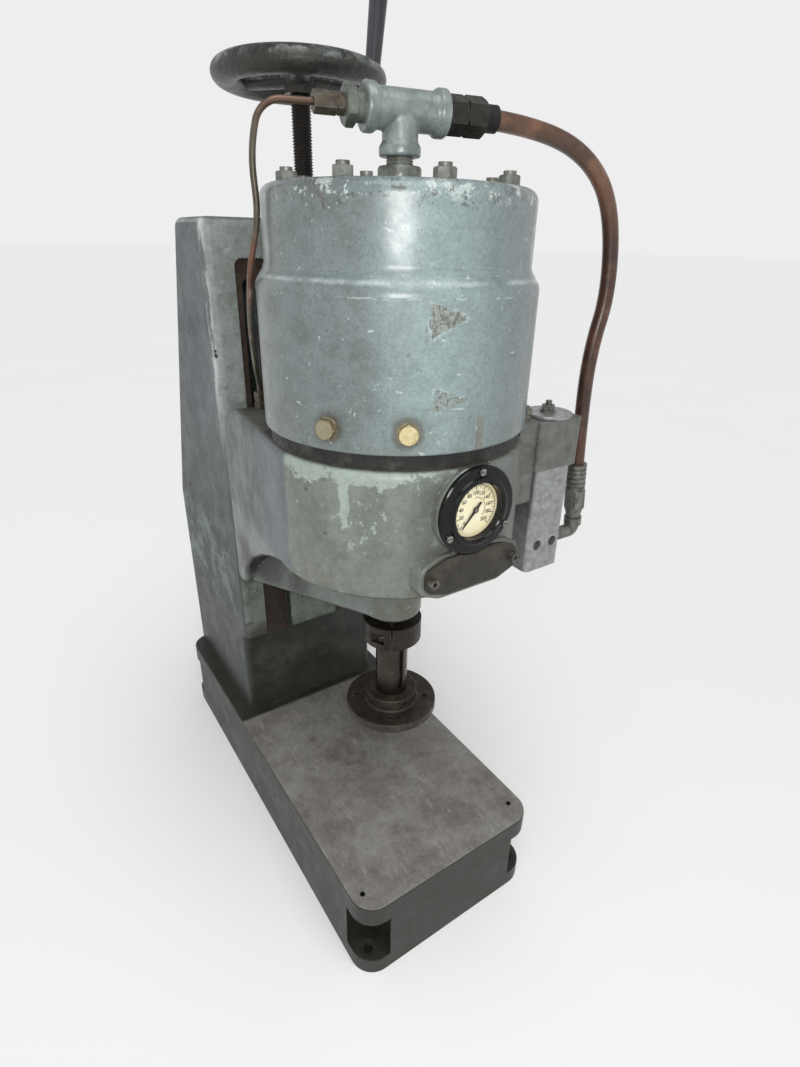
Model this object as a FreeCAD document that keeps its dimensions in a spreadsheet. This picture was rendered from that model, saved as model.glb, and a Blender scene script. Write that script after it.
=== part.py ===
import FreeCAD, Part
import os, math

# Bench air press: standing frame, sliding head, air cylinder, ram and platen.
# Millimetres. +Z up, -Y is the front. Origin on the floor plane, midway
# between the four foot bolt holes.

V = FreeCAD.Vector
doc = FreeCAD.newDocument("Press")
sheet = doc.addObject("Spreadsheet::Sheet", "Sizes")
SIZES = [
    # frame
    ("base_w", "230.6"), ("base_d", "553.5"), ("base_h", "104"), ("base_round", "26"),
    ("foot_h", "20"), ("slab_h", "24.5"), ("scoop_r", "24"), ("bolt_x", "99.5"), ("bolt_y", "259"),
    ("bolt_r", "4.9"), ("bolt_cb_r", "8.2"), ("bolt_cb_h", "1.5"), ("base_wall", "14"),
    ("col_w", "193"), ("pad_y", "46.5"), ("floor_y", "60.5"), ("col_top", "721"), ("col_wall", "13"),
    ("rib_x", "33"), ("groove_x", "68.5"), ("groove_z0", "230"), ("groove_z1", "684"),
    ("slot_x", "50.5"), ("slot_w", "13.5"), ("slot_z0", "305"), ("slot_z1", "664"),
    ("wall_y", "74.5"), ("edge_r", "8"), ("bed_hole_r", "2.75"), ("bed_hole_d", "15"),
    # head
    ("axis_y", "-145.7"), ("drum_r", "115.5"), ("drum_z0", "433.5"), ("deck_z", "546"),
    ("head_rear_x", "97"), ("head_z0", "315"), ("nose_r", "30"), ("nose_z0", "351.6"),
    ("boss_r", "48"), ("cav_r", "103"), ("cav_z0", "446"), ("cav_z1", "530"),
    ("gauge_z", "509.5"), ("gauge_pad_r", "38.5"), ("gauge_pad_y", "-263"), ("plate_z", "457.5"),
    ("key_fit", "0.06"), ("key_y1", "60"), ("key_z0", "335"), ("key_z1", "495"),
    ("stud_z0", "365"), ("stud_z1", "455"), ("stud_r", "6.35"),
    ("bush_r", "22"), ("bush_lo_z0", "355"), ("bush_lo_z1", "395"), ("bush_up_z0", "478"), ("bush_up_z1", "518"),
    ("spring_pocket_r", "41"), ("spring_seat_z", "520"),
    # screw and wheel
    ("screw_y", "20.9"), ("screw_r", "9.52"), ("journal_r", "8"), ("wheel_z", "835.5"), ("wheel_r", "79.4"),
    ("rim_a", "13"), ("rim_b", "10.5"), ("wheel_hub_r", "14.5"), ("nut_r", "14.5"),
    ("grip_x", "53.2"), ("grip_y", "-17.9"), ("grip_lean", "6"),
    # cylinder
    ("ring_r", "111.5"), ("ring_z1", "558.6"), ("cyl_r", "115.6"), ("cyl_r2", "107.8"),
    ("cyl_z1", "672"), ("cyl_z2", "684"), ("cyl_top", "739.6"), ("bore_r", "76.2"), ("roof_z", "721"),
    ("tie_pcd_r", "88"), ("tie_r", "4.76"), ("tie_a0", "31"), ("port_z", "576.3"),
    # ram
    ("ram_r", "17.35"), ("ram_fit", "0.05"), ("ram_z0", "237.3"), ("ram_z1", "715"), ("piston_z0", "685"), ("piston_z1", "711"),
    ("key_w", "6.35"), ("key_deep", "3.2"), ("collar_r", "31"), ("collar_z0", "320"), ("collar_z1", "345.5"),
    ("flange_r", "50.2"), ("flange_z0", "227.7"), ("flange_z1", "237.2"), ("hub_r", "28.5"), ("hub_z1", "251"),
    # pipes
    ("run_z", "790.5"), ("tee_turn", "-12"), ("hose_d", "14.5"), ("tube_d", "4.76"),
]
for i, (alias, val) in enumerate(SIZES):
    sheet.set("A%d" % (i + 1), alias)
    sheet.set("B%d" % (i + 1), val)
    sheet.setAlias("B%d" % (i + 1), alias)
doc.recompute()
D = {a: float(sheet.get(a)) for a, v in SIZES}
S = "Sizes."
AY = D["axis_y"]
OUT = []


def pl(x=0, y=0, z=0, axis=(0, 0, 1), deg=0):
    return FreeCAD.Placement(V(x, y, z), FreeCAD.Rotation(V(*axis), deg))


def loop(points):
    """Closed outline of (x, y[, corner radius]) as lines and tangent arcs."""
    n = len(points)
    cut = []
    for i in range(n):
        p = V(points[i][0], points[i][1], 0)
        r = points[i][2] if len(points[i]) > 2 else 0
        a = V(points[i - 1][0], points[i - 1][1], 0)
        b = V(points[(i + 1) % n][0], points[(i + 1) % n][1], 0)
        if r <= 0:
            cut.append((p, p, None))
            continue
        u = (a - p).normalize()
        w = (b - p).normalize()
        half = u.getAngle(w) / 2
        t = r / math.tan(half)
        bis = (u + w).normalize()
        c = p + bis * (r / math.sin(half))
        cut.append((p + u * t, p + w * t, c - bis * r))
    out = []
    for i in range(n):
        s, e, m = cut[i]
        if m is not None:
            out.append(Part.Arc(s, m, e))
        nx = cut[(i + 1) % n][0]
        if (nx - e).Length > 1e-6:
            out.append(Part.LineSegment(e, nx))
    return out


def circle(x, y, r):
    return [Part.Circle(V(x, y, 0), V(0, 0, 1), r)]


def body(name):
    b = doc.addObject("PartDesign::Body", name)
    b.Label = name
    return b


def sketch(b, role, off, geo):
    s = b.newObject("Sketcher::SketchObject", b.Name + "_outline")
    base = [o for o in b.Origin.OriginFeatures if o.Role == role][0]
    s.AttachmentSupport = (base, [""])
    s.MapMode = "FlatFace"
    s.AttachmentOffset = pl(0, 0, off)
    for g in geo:
        s.addGeometry(g, False)
    return s


def pad(b, role, off, geo, length, mid=False, rev=False, bind=None):
    s = sketch(b, role, off, geo)
    f = b.newObject("PartDesign::Pad", b.Name + "_pad")
    f.Profile = s
    f.Length = length
    f.Midplane = mid
    f.Reversed = rev
    if bind:
        f.setExpression("Length", bind)
    doc.recompute()
    return f


def pocket(b, role, off, geo, length, mid=False, rev=False, bind=None):
    before = b.Shape.Volume
    s = sketch(b, role, off, geo)
    f = b.newObject("PartDesign::Pocket", b.Name + "_pocket")
    f.Profile = s
    f.Length = length
    f.Midplane = mid
    f.Reversed = rev
    if bind:
        f.setExpression("Length", bind)
    doc.recompute()
    if not b.Shape.Volume < before - 1e-3:
        print("POCKET REMOVED NOTHING", b.Label, f.Name)
    return f


def revolve(b, geo, groove=False):
    """Outline in (radius, height) turned about the body's Z axis."""
    before = b.Shape.Volume if groove else 0
    s = sketch(b, "XZ_Plane", 0, geo)
    f = b.newObject("PartDesign::Groove" if groove else "PartDesign::Revolution", b.Name + "_turned")
    f.Profile = s
    f.ReferenceAxis = (s, ["V_Axis"])
    f.Angle = 360
    doc.recompute()
    if groove and not b.Shape.Volume < before - 1e-3:
        print("GROOVE REMOVED NOTHING", b.Label, f.Name)
    return f


def soften(b, r, pick):
    """Fillet the edges of the tip for which pick(edge) is true."""
    tip = b.Tip
    names = ["Edge%d" % (i + 1) for i, e in enumerate(tip.Shape.Edges) if pick(e)]
    if not names:
        print("NO EDGES", b.Label, r)
        return None
    f = b.newObject("PartDesign::Fillet", b.Name + "_round")
    f.Base = (tip, names)
    f.Radius = r
    doc.recompute()
    bad = ("Invalid" in f.State) or f.Shape.isNull() or not f.Shape.isValid()
    if bad:
        print("FILLET FAILED", b.Label, r, len(names))
        b.removeObject(f)
        doc.removeObject(f.Name)
        b.Tip = tip
        doc.recompute()
        return None
    return f


def turned(name, pts, x=0, y=0, z=0):
    b = body(name)
    revolve(b, loop(pts))
    b.Placement = pl(x, y, z)
    return b


def keep(obj, name=None):
    if name:
        obj.Label = name
    OUT.append(obj)
    return obj


def prim_cyl(name, r, h, place, er=None, eh=None):
    c = doc.addObject("Part::Cylinder", name)
    c.Radius = r
    c.Height = h
    if er:
        c.setExpression("Radius", er)
    if eh:
        c.setExpression("Height", eh)
    c.Placement = place
    return c


def prim_box(name, x0, x1, y0, y1, z0, z1):
    c = doc.addObject("Part::Box", name)
    c.Length, c.Width, c.Height = x1 - x0, y1 - y0, z1 - z0
    c.Placement = pl(x0, y0, z0)
    return c


def fuse(name, parts):
    f = doc.addObject("Part::MultiFuse", name)
    f.Shapes = parts
    f.Label = name
    doc.recompute()
    return f


def cut(name, base, tool):
    f = doc.addObject("Part::Cut", name)
    f.Base = base
    f.Tool = tool
    f.Label = name
    doc.recompute()
    return f


def group(name, shape, places):
    """Several equal, separate solids under one label."""
    f = doc.addObject("Part::Feature", name)
    f.Label = name
    out = []
    for p in places:
        s = shape.copy()
        s.Placement = p.multiply(s.Placement)
        out.append(s)
    f.Shape = Part.makeCompound(out)
    OUT.append(f)
    return f


def loose(name, shape, place=None):
    f = doc.addObject("Part::Feature", name)
    f.Label = name
    f.Shape = shape
    if place is not None:
        f.Placement = place
    OUT.append(f)
    return f


def hexagon(af, x=0, y=0, turn=0):
    r = af / math.sqrt(3)
    return [(x + r * math.cos(math.radians(60 * k + turn)), y + r * math.sin(math.radians(60 * k + turn))) for k in range(6)]


def hex_shape(af, h, bore=0, z=0, turn=0, chamfer=True):
    """Hexagon prism along +Z with turned corners."""
    pts = [V(p[0], p[1], z) for p in hexagon(af, 0, 0, turn)]
    s = Part.Face(Part.makePolygon(pts + [pts[0]])).extrude(V(0, 0, h))
    if chamfer:
        R = af / math.sqrt(3)
        c = R - af / 2 * 0.98
        k = c * 0.577
        prof = Part.makePolygon([V(0, 0, z), V(af / 2 * 0.98, 0, z), V(R, 0, z + k), V(R, 0, z + h - k), V(af / 2 * 0.98, 0, z + h), V(0, 0, z + h), V(0, 0, z)])
        s = s.common(Part.Face(prof).revolve(V(0, 0, 0), V(0, 0, 1), 360))
    if bore:
        s = s.cut(Part.makeCylinder(bore, h + 2, V(0, 0, z - 1)))
    return s


def cyl_shape(r, h, z=0, bore=0):
    s = Part.makeCylinder(r, h, V(0, 0, z))
    if bore:
        s = s.cut(Part.makeCylinder(bore, h + 2, V(0, 0, z - 1)))
    return s


def cap_screw(r_head, h_head, r, length, socket=0):
    """Socket screw, head seat at z=0, head above, shank below."""
    s = Part.makeCylinder(r_head, h_head, V(0, 0, 0))
    s = s.fuse(Part.makeCylinder(r, length, V(0, 0, -length)))
    if socket:
        s = s.cut(hex_shape(socket, h_head * 0.6 + 1, 0, h_head * 0.4, 0, False))
    return s.removeSplitter()


# ---------------------------------------------------------------- press frame
hw, hd = D["base_w"] / 2, D["base_d"] / 2
cw = D["col_w"] / 2
b = body("column_form")
# side view of the column: pads, set-back foot, sloping back
pad(b, "YZ_Plane", 0, loop([
    (D["floor_y"], 88), (D["floor_y"], D["groove_z0"], 6), (D["pad_y"], D["groove_z0"], 6),
    (D["pad_y"], D["col_top"], 9), (143, D["col_top"], 12), (hd, 369, 22), (hd, 88)]),
    D["col_w"], mid=True, bind=S + "col_w")
soften(b, D["edge_r"], lambda e: abs(abs(e.CenterOfMass.x) - cw) < 1e-3 and e.BoundBox.XLength < 1e-3
       and e.CenterOfMass.z > 90)
# swelled foot of the column
fy = D["floor_y"]
pad(b, "YZ_Plane", 0, [Part.LineSegment(V(fy - 14, 103, 0), V(fy + 6, 103, 0)),
                       Part.LineSegment(V(fy + 6, 103, 0), V(fy + 6, 118, 0)),
                       Part.LineSegment(V(fy + 6, 118, 0), V(fy, 118, 0)),
                       Part.Arc(V(fy, 118, 0), V(fy - 4.1, 108.1, 0), V(fy - 14, 104, 0)),
                       Part.LineSegment(V(fy - 14, 104, 0), V(fy - 14, 103, 0))],
    2 * (cw - 6), mid=True)
# grooves with their square pads
for sgn in (-1, 1):
    x0, x1 = sorted((sgn * D["rib_x"], sgn * D["groove_x"]))
    pocket(b, "XZ_Plane", -D["pad_y"], loop([(x0, 224), (x1, 224), (x1, D["groove_z1"], 8), (x0, D["groove_z1"], 8)]),
           D["floor_y"] - D["pad_y"], bind=S + "floor_y - " + S + "pad_y")
# hollow inside, and the hand hole at the back that reaches the clamp nuts
iw = cw - D["col_wall"]
pocket(b, "YZ_Plane", 0, loop([(D["wall_y"], 120, 10), (D["wall_y"], D["col_top"] - 14, 10), (134.4, D["col_top"] - 14, 10), (hd - 13, 366.6, 22), (hd - 13, 120, 14)]),
       2 * iw, mid=True)
pocket(b, "XZ_Plane", -(hd - 25), loop([(-54, 165, 24), (54, 165, 24), (54, 335, 24), (-54, 335, 24)]), 50)
# clamp slots
for sgn in (-1, 1):
    x = sgn * D["slot_x"]
    w = D["slot_w"] / 2
    pocket(b, "XZ_Plane", -D["floor_y"] + 1, loop([(x - w, D["slot_z0"], w - .01), (x + w, D["slot_z0"], w - .01),
                                                   (x + w, D["slot_z1"], w - .01), (x - w, D["slot_z1"], w - .01)]), 20)
# tapped holes for the nut bracket
for x in (-23, 23):
    for z in (652, 696):
        pocket(b, "XZ_Plane", -D["pad_y"], circle(x, z, 4.0), 22)
column = b
# bed and base
b = body("bed_form")
bw = D["base_w"] / 2
R = D["base_round"]
pad(b, "XY_Plane", 0, loop([(-bw, -hd, R), (bw, -hd, R), (bw, hd, R), (-bw, hd, R)]), D["base_h"], bind=S + "base_h")
soften(b, 2.0, lambda e: abs(e.BoundBox.ZMin - D["base_h"]) < 1e-3)
# scooped corners over the four feet
for sx in (-1, 1):
    for sy in (-1, 1):
        r = D["scoop_r"]
        ox = bw + 0.3 - D["bolt_x"]
        oy = hd + 0.3 - D["bolt_y"]
        ax, ayy = math.sqrt(r * r - oy * oy), math.sqrt(r * r - ox * ox)
        cx, cy = D["bolt_x"], D["bolt_y"]
        P = [(cx - ax, cy + oy), (cx - r * 0.70711, cy - r * 0.70711), (cx + ox, cy - ayy), (cx + ox + 20, cy - ayy), (cx + ox + 20, cy + oy + 20), (cx - ax, cy + oy + 20)]
        P = [V(sx * p[0], sy * p[1], 0) for p in P]
        geo = [Part.Arc(P[0], P[1], P[2])] + [Part.LineSegment(P[i], P[(i + 1) % 6]) for i in range(2, 6)]
        pocket(b, "XY_Plane", D["base_h"] - D["slab_h"], geo,
               D["base_h"] - D["slab_h"] - D["foot_h"], bind=S + "base_h - " + S + "slab_h - " + S + "foot_h")
        pocket(b, "XY_Plane", D["foot_h"] + 1, circle(sx * cx, sy * cy, D["bolt_r"]), 40)
        pocket(b, "XY_Plane", D["foot_h"], circle(sx * cx, sy * cy, D["bolt_cb_r"]), D["bolt_cb_h"], bind=S + "bolt_cb_h")
# hollow under the bed
bx, by = bw - D["base_wall"], hd - D["base_wall"]
nx, ny = D["bolt_x"] - D["scoop_r"] - 12, D["bolt_y"] - D["scoop_r"] - 12
pocket(b, "XY_Plane", 0, loop([(-nx, -by, 8), (nx, -by, 8), (nx, -ny, 8), (bx, -ny, 8), (bx, ny, 8), (nx, ny, 8), (nx, by, 8),
                               (-nx, by, 8), (-nx, ny, 8), (-bx, ny, 8), (-bx, -ny, 8), (-nx, -ny, 8)]), 79, rev=True)
# tapped holes in the bed corners
for x, y in ((-102.6, -252.8), (99, -251.5)):
    pocket(b, "XY_Plane", D["base_h"], circle(x, y, D["bed_hole_r"]), D["bed_hole_d"], bind=S + "bed_hole_d")
keep(fuse("press_frame", [column, b]))

# ------------------------------------------------------------- screw bracket
b = body("screw_bracket")
pad(b, "XZ_Plane", -46.45, loop([(-32, 641, 6), (32, 641, 6), (32, 707, 6), (-32, 707, 6)]), 11)
pad(b, "XY_Plane", 646, circle(0, D["screw_y"], 20), 56)
pad(b, "XY_Plane", 646, loop([(-20, D["screw_y"]), (20, D["screw_y"]), (20, 40), (-20, 40)]), 56)
pocket(b, "XY_Plane", 710, circle(0, D["screw_y"], D["nut_r"] + 0.02), 80)
for x in (-23, 23):
    for z in (652, 696):
        pocket(b, "XZ_Plane", -30, circle(x, z, 4.1), 30)
        pocket(b, "XZ_Plane", -26, circle(x, z, 7.2), 9.5)
keep(b)
group("bracket_screws", cap_screw(6.6, 8, 3.98, 26, 6), [pl(x, 35.5, z, (1, 0, 0), 90) for x in (-23, 23) for z in (652, 696)])
turned("screw_nut", [(D["screw_r"] + 0.05, 646), (D["nut_r"], 646), (D["nut_r"], 710, 1.5), (D["screw_r"] + 0.05, 710)], 0, D["screw_y"])
OUT.append(doc.getObject("screw_nut"))

# ---------------------------------------------------------------------- head
def tangent(qx, qy, rad):
    """Where the line from (qx, qy) touches the circle round the ram axis, on the +X side."""
    dx, dy = qx, qy - AY
    d = math.hypot(dx, dy)
    a = math.atan2(dy, dx) - math.acos(rad / d)
    return rad * math.cos(a), AY + rad * math.sin(a)


up = body("head_upper_form")
rr = D["drum_r"]
tx, ty = tangent(D["head_rear_x"], D["pad_y"] - 0.05, rr)
geo = [Part.Arc(V(-tx, ty, 0), V(0, AY - rr, 0), V(tx, ty, 0)),
       Part.LineSegment(V(tx, ty, 0), V(D["head_rear_x"], D["pad_y"] - 0.05, 0)),
       Part.LineSegment(V(D["head_rear_x"], D["pad_y"] - 0.05, 0), V(-D["head_rear_x"], D["pad_y"] - 0.05, 0)),
       Part.LineSegment(V(-D["head_rear_x"], D["pad_y"] - 0.05, 0), V(-tx, ty, 0))]
pad(up, "XY_Plane", D["head_z0"], geo, D["deck_z"] - D["head_z0"], bind=S + "deck_z - " + S + "head_z0")
soften(up, 7, lambda e: abs(e.BoundBox.ZMin - D["deck_z"]) < 1e-3 and e.BoundBox.YMin < 40)
# flank line under the drum
pocket(up, "YZ_Plane", 0, loop([(-300, 300), (-300, D["drum_z0"]), (-131.5, D["drum_z0"], 20), (-98.5, 423, 20), (-60.5, 407, 30),
                                (-18.5, 383, 30), (6, 361, 20), (19, 334, 12), (34.5, 328, 12), (60, 325), (60, 300)]), 300, mid=True)
# sloping rear shoulder
pocket(up, "YZ_Plane", 0, loop([(70, 497), (46.4, 497), (40.5, 507, 20), (29.5, 524, 20), (16, 538, 20), (-2, 546.01), (-2, 575), (70, 575)]), 300, mid=True)
soften(up, 5, lambda e: e.BoundBox.ZMin > D["drum_z0"] - 1 and e.BoundBox.ZMax < D["drum_z0"] + 1 and e.BoundBox.YMin < -200)

ns = body("head_nose_form")
r = D["nose_r"]
nx, ny = tangent(91.5, 22.0, r)
geo = [Part.Arc(V(-nx, ny, 0), V(0, AY - r, 0), V(nx, ny, 0)),
       Part.LineSegment(V(nx, ny, 0), V(91.5, 22, 0)), Part.LineSegment(V(91.5, 22, 0), V(-91.5, 22, 0)),
       Part.LineSegment(V(-91.5, 22, 0), V(-nx, ny, 0))]
pad(ns, "XY_Plane", D["head_z0"] + 15, geo, 448 - D["head_z0"] - 15)
pocket(ns, "YZ_Plane", 0, loop([(-220, 300), (-220, D["nose_z0"]), (-140.5, D["nose_z0"]), (60, 325.5), (60, 300)]), 300, mid=True)
soften(ns, 8, lambda e: e.BoundBox.ZMax < 353 and e.BoundBox.YMin < 10 and e.BoundBox.ZMax > 330 and e.BoundBox.YLength > 0.5)

gp = body("head_gauge_pad")
pad(gp, "XZ_Plane", 245, circle(0, D["gauge_z"], D["gauge_pad_r"]), -D["gauge_pad_y"] - 245)
soften(gp, 2, lambda e: abs(e.BoundBox.YMin - D["gauge_pad_y"]) < 1e-3 and e.BoundBox.YLength < 1e-3)
lp = body("head_plate_pad")
pz = D["plate_z"] - 1.5
pad(lp, "XZ_Plane", 240, loop([(-32, pz + 20, 16), (32, pz + 20, 16), (53, pz + 11, 10), (53, pz - 11, 10), (32, pz - 20, 16), (-32, pz - 20, 16), (-53, pz - 11, 10), (-53, pz + 11, 10)]),
    -D["gauge_pad_y"] - 240)
soften(lp, 2, lambda e: abs(e.BoundBox.YMin - D["gauge_pad_y"]) < 1e-3 and e.BoundBox.YLength < 1e-3)
keys = []
for sgn in (-1, 1):
    k = body("head_key_form")
    x0, x1 = sorted((sgn * (D["rib_x"] + D["key_fit"]), sgn * (D["groove_x"] - D["key_fit"])))
    pad(k, "XZ_Plane", -D["key_y1"], loop([(x0, D["key_z0"], 3), (x1, D["key_z0"], 3), (x1, D["key_z1"], 3), (x0, D["key_z1"], 3)]), D["key_y1"] - 40)
    keys.append(k)
boss = prim_cyl("head_screw_boss", 22, 60, pl(0, D["screw_y"], 486))
# inner cavity, with the ram boss left standing
cav = body("head_cavity_form")
rc = D["cav_r"]
pad(cav, "XY_Plane", D["cav_z0"], [Part.Arc(V(-rc, AY, 0), V(0, AY - rc, 0), V(rc, AY, 0)), Part.LineSegment(V(rc, AY, 0), V(88, -6, 0)),
                                   Part.LineSegment(V(88, -6, 0), V(-88, -6, 0)), Part.LineSegment(V(-88, -6, 0), V(-rc, AY, 0))],
    D["cav_z1"] - D["cav_z0"], bind=S + "cav_z1 - " + S + "cav_z0")
pad(cav, "XY_Plane", D["cav_z0"], loop([(-84, -20), (84, -20), (82, 30, 6), (-82, 30, 6)]), 38)
pad(cav, "XY_Plane", D["cav_z0"] + 2, loop([(-25, 0), (25, 0), (25, 60), (-25, 60)]), 32)
ramboss = prim_cyl("head_ram_boss", D["boss_r"], 120, pl(0, AY, D["cav_z0"] - 10), S + "boss_r")
stand = [prim_cyl("head_stud_boss", 14, 60, pl(x, 46.4, D["stud_z1"], (1, 0, 0), 90)) for x in (-D["slot_x"], D["slot_x"])]
cav2 = cut("head_cavity", cav, fuse("head_core", [ramboss] + stand))
solid = fuse("head_solid", [up, ns, gp, lp, boss] + keys)
holes = [cav2,
         prim_cyl("t_ram", D["ram_r"] + 1.2, 300, pl(0, AY, 300)),
         prim_cyl("t_bush_lo", D["bush_r"] + 0.02, 60, pl(0, AY, 341), S + "bush_r + 0.02"),
         prim_cyl("t_bush_up", D["bush_r"] + 0.02, 60, pl(0, AY, D["bush_up_z0"]), S + "bush_r + 0.02"),
         prim_cyl("t_spring", D["spring_pocket_r"], 60, pl(0, AY, D["spring_seat_z"]), S + "spring_pocket_r"),
         prim_cyl("t_screw", D["journal_r"] + 0.06, 60, pl(0, D["screw_y"], 514), S + "journal_r + 0.06"),
         prim_box("t_deck", -60, 60, -275, -230, D["deck_z"], D["deck_z"] + 12),
         prim_cyl("t_gauge", 25.5, 40, pl(0, -225, D["gauge_z"], (1, 0, 0), 90)),
         prim_cyl("t_fit", 4.6, 30, pl(-74.5, -9.5, 520))]
holes[2].Height = D["bush_lo_z1"] - 341
for x in (-D["slot_x"], D["slot_x"]):
    for z in (D["stud_z0"], D["stud_z1"]):
        holes.append(prim_cyl("t_stud", D["stud_r"] + 0.02, 30, pl(x, 66, z, (1, 0, 0), 90), S + "stud_r + 0.02"))
for k in range(8):
    a = math.radians(D["tie_a0"] + 45 * k)
    holes.append(prim_cyl("t_tie", D["tie_r"] + 0.02, 30, pl(D["tie_pcd_r"] * math.cos(a), AY + D["tie_pcd_r"] * math.sin(a), 531), S + "tie_r + 0.02"))
for k in (90, 210, 330):
    a = math.radians(k)
    holes.append(prim_cyl("t_gs", 1.65, 14, pl(33.5 * math.cos(a), -252, D["gauge_z"] + 33.5 * math.sin(a), (1, 0, 0), 90)))
for x in (-43.5, 43.5):
    holes.append(prim_cyl("t_ps", 2.55, 16, pl(x, -250, D["plate_z"] - 0.5, (1, 0, 0), 90)))
for z in (480, 530):
    holes.append(prim_cyl("t_vb", 2.52, 16, pl(102.5, -172, z, (0, 1, 0), 90)))
# guide screw through the nose
holes.append(prim_cyl("t_guide", 4.02, 60, pl(0, AY - 40, 412, (1, 0, 0), -90)))
holes[-1].Height = 24
head = cut("head_casting", solid, fuse("head_holes", holes))
keep(head, "head_casting")

# head clamp behind the column wall
group("clamp_studs", cyl_shape(D["stud_r"], 62, 0), [pl(x, 104, z, (1, 0, 0), 90) for x in (-D["slot_x"], D["slot_x"]) for z in (D["stud_z0"], D["stud_z1"])])
b = body("clamp_plate_form")
pad(b, "XZ_Plane", -D["wall_y"] - 0.1 - 10, loop([(-15, 333, 3), (15, 333, 3), (15, 487, 3), (-15, 487, 3)]), 10)
for z in (D["stud_z0"], D["stud_z1"]):
    pocket(b, "XZ_Plane", -70, circle(0, z, D["stud_r"] + 0.4), 40)
group("clamp_plates", b.Shape, [pl(-D["slot_x"], 0, 0), pl(D["slot_x"], 0, 0)])
group("clamp_nuts", hex_shape(19.05, 10.8, D["stud_r"] + 0.02), [pl(x, D["wall_y"] + 10.15, z, (1, 0, 0), -90) for x in (-D["slot_x"], D["slot_x"]) for z in (D["stud_z0"], D["stud_z1"])])

# ram bushes
b = body("bush_form")
revolve(b, loop([(D["ram_r"] + D["ram_fit"], 0), (D["bush_r"], 0), (D["bush_r"], 40), (D["ram_r"] + D["ram_fit"], 40)]))
group("ram_bushes", b.Shape, [pl(0, AY, D["bush_lo_z0"]), pl(0, AY, D["bush_up_z0"])])

# -------------------------------------------------------- screw and handwheel
SY = D["screw_y"]
b = turned("elevating_screw", [(0, 518), (7, 518), (8, 519), (8, 546.1), (13.5, 546.1), (13.5, 554.6), (D["screw_r"], 554.6), (D["screw_r"], 822), (7.9, 822), (7.9, 858), (7, 859), (0, 859)], 0, SY)
keep(b)
b = body("screw_retainer")
revolve(b, loop([(14.0, 546.03), (22, 546.03), (22, 561, 2), (9.9, 561), (9.9, 554.9), (14.0, 554.9)]))
b.Placement = pl(0, SY, 0)
keep(b)

# handwheel: fat oval rim, three spokes dished down to the hub
wz = D["wheel_z"]
rm = D["wheel_r"] - D["rim_a"]
ell = Part.Ellipse(V(0, 0, 0), D["rim_a"], D["rim_b"]).toShape()
ell.Placement = FreeCAD.Placement(V(rm, 0, wz), FreeCAD.Rotation(V(1, 0, 0), 90))
rim = Part.Face(Part.Wire([ell])).revolve(V(0, 0, 0), V(0, 0, 1), 360)
hub = Part.makeCylinder(D["wheel_hub_r"], 30, V(0, 0, wz - 13))
wheel = rim.fuse(hub)
for k in range(3):
    a = math.radians(244 + 120 * k)
    p0 = V(8 * math.cos(a), 8 * math.sin(a), wz - 1)
    p1 = V(rm * math.cos(a), rm * math.sin(a), wz - 1)
    dirv = (p1 - p0)
    e0 = Part.Ellipse(V(0, 0, 0), 10, 6.5).toShape()
    e1 = Part.Ellipse(V(0, 0, 0), 8.5, 5.5).toShape()
    rot = FreeCAD.Rotation(V(-math.sin(a), math.cos(a), 0), V(0, 0, 1), V(math.cos(a), math.sin(a), 0), "ZXY")
    e0.Placement = FreeCAD.Placement(p0, rot)
    e1.Placement = FreeCAD.Placement(p1, rot)
    wheel = wheel.fuse(Part.makeLoft([Part.Wire([e0]), Part.Wire([e1])], True))
wheel = wheel.cut(Part.makeCylinder(7.92, 80, V(0, 0, wz - 40)))
# boss seat and hole for the handle stud
gx, gy = D["grip_x"], D["grip_y"] - SY
out = V(gx, gy, 0).normalize()
lean = math.radians(D["grip_lean"])
lv = out * math.sin(lean) + V(0, 0, math.cos(lean))
gp0 = V(gx, gy, wz)
print("handle axis", lv, "through", gp0 + V(0, SY, 0))
wheel = wheel.cut(Part.makeCylinder(4.02, 60, gp0 - lv * 8, lv))
wheel = wheel.cut(Part.makeCylinder(10, 30, gp0 + lv * 8.9, lv))
loose("handwheel", wheel.removeSplitter(), pl(0, SY, 0))
loose("wheel_nut", hex_shape(22.2, 6.5, 7.93, wz + 17.1), pl(0, SY, 0))
# handle on its stud, leaning outwards a little
leaned = FreeCAD.Placement(gp0 + V(0, SY, 0), FreeCAD.Rotation(V(0, 0, 1), lv)).multiply(pl(0, 0, -wz))
b = turned("handle_stud", [(0, wz - 7), (4, wz - 7), (4, wz + 12), (4.0, wz + 12), (4.0, wz + 98), (6.5, wz + 98), (6.5, wz + 101, 1.5), (0, wz + 101)])
b.Placement = leaned
keep(b)
b = turned("crank_handle", [(4.08, wz + 9.1), (7.0, wz + 9.1), (8.0, wz + 55, 60), (9.4, wz + 90, 12), (8.6, wz + 103.5, 3), (6.9, wz + 104.5), (6.9, wz + 97.6), (4.08, wz + 97.6)])
b.Placement = leaned
keep(b)

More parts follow.
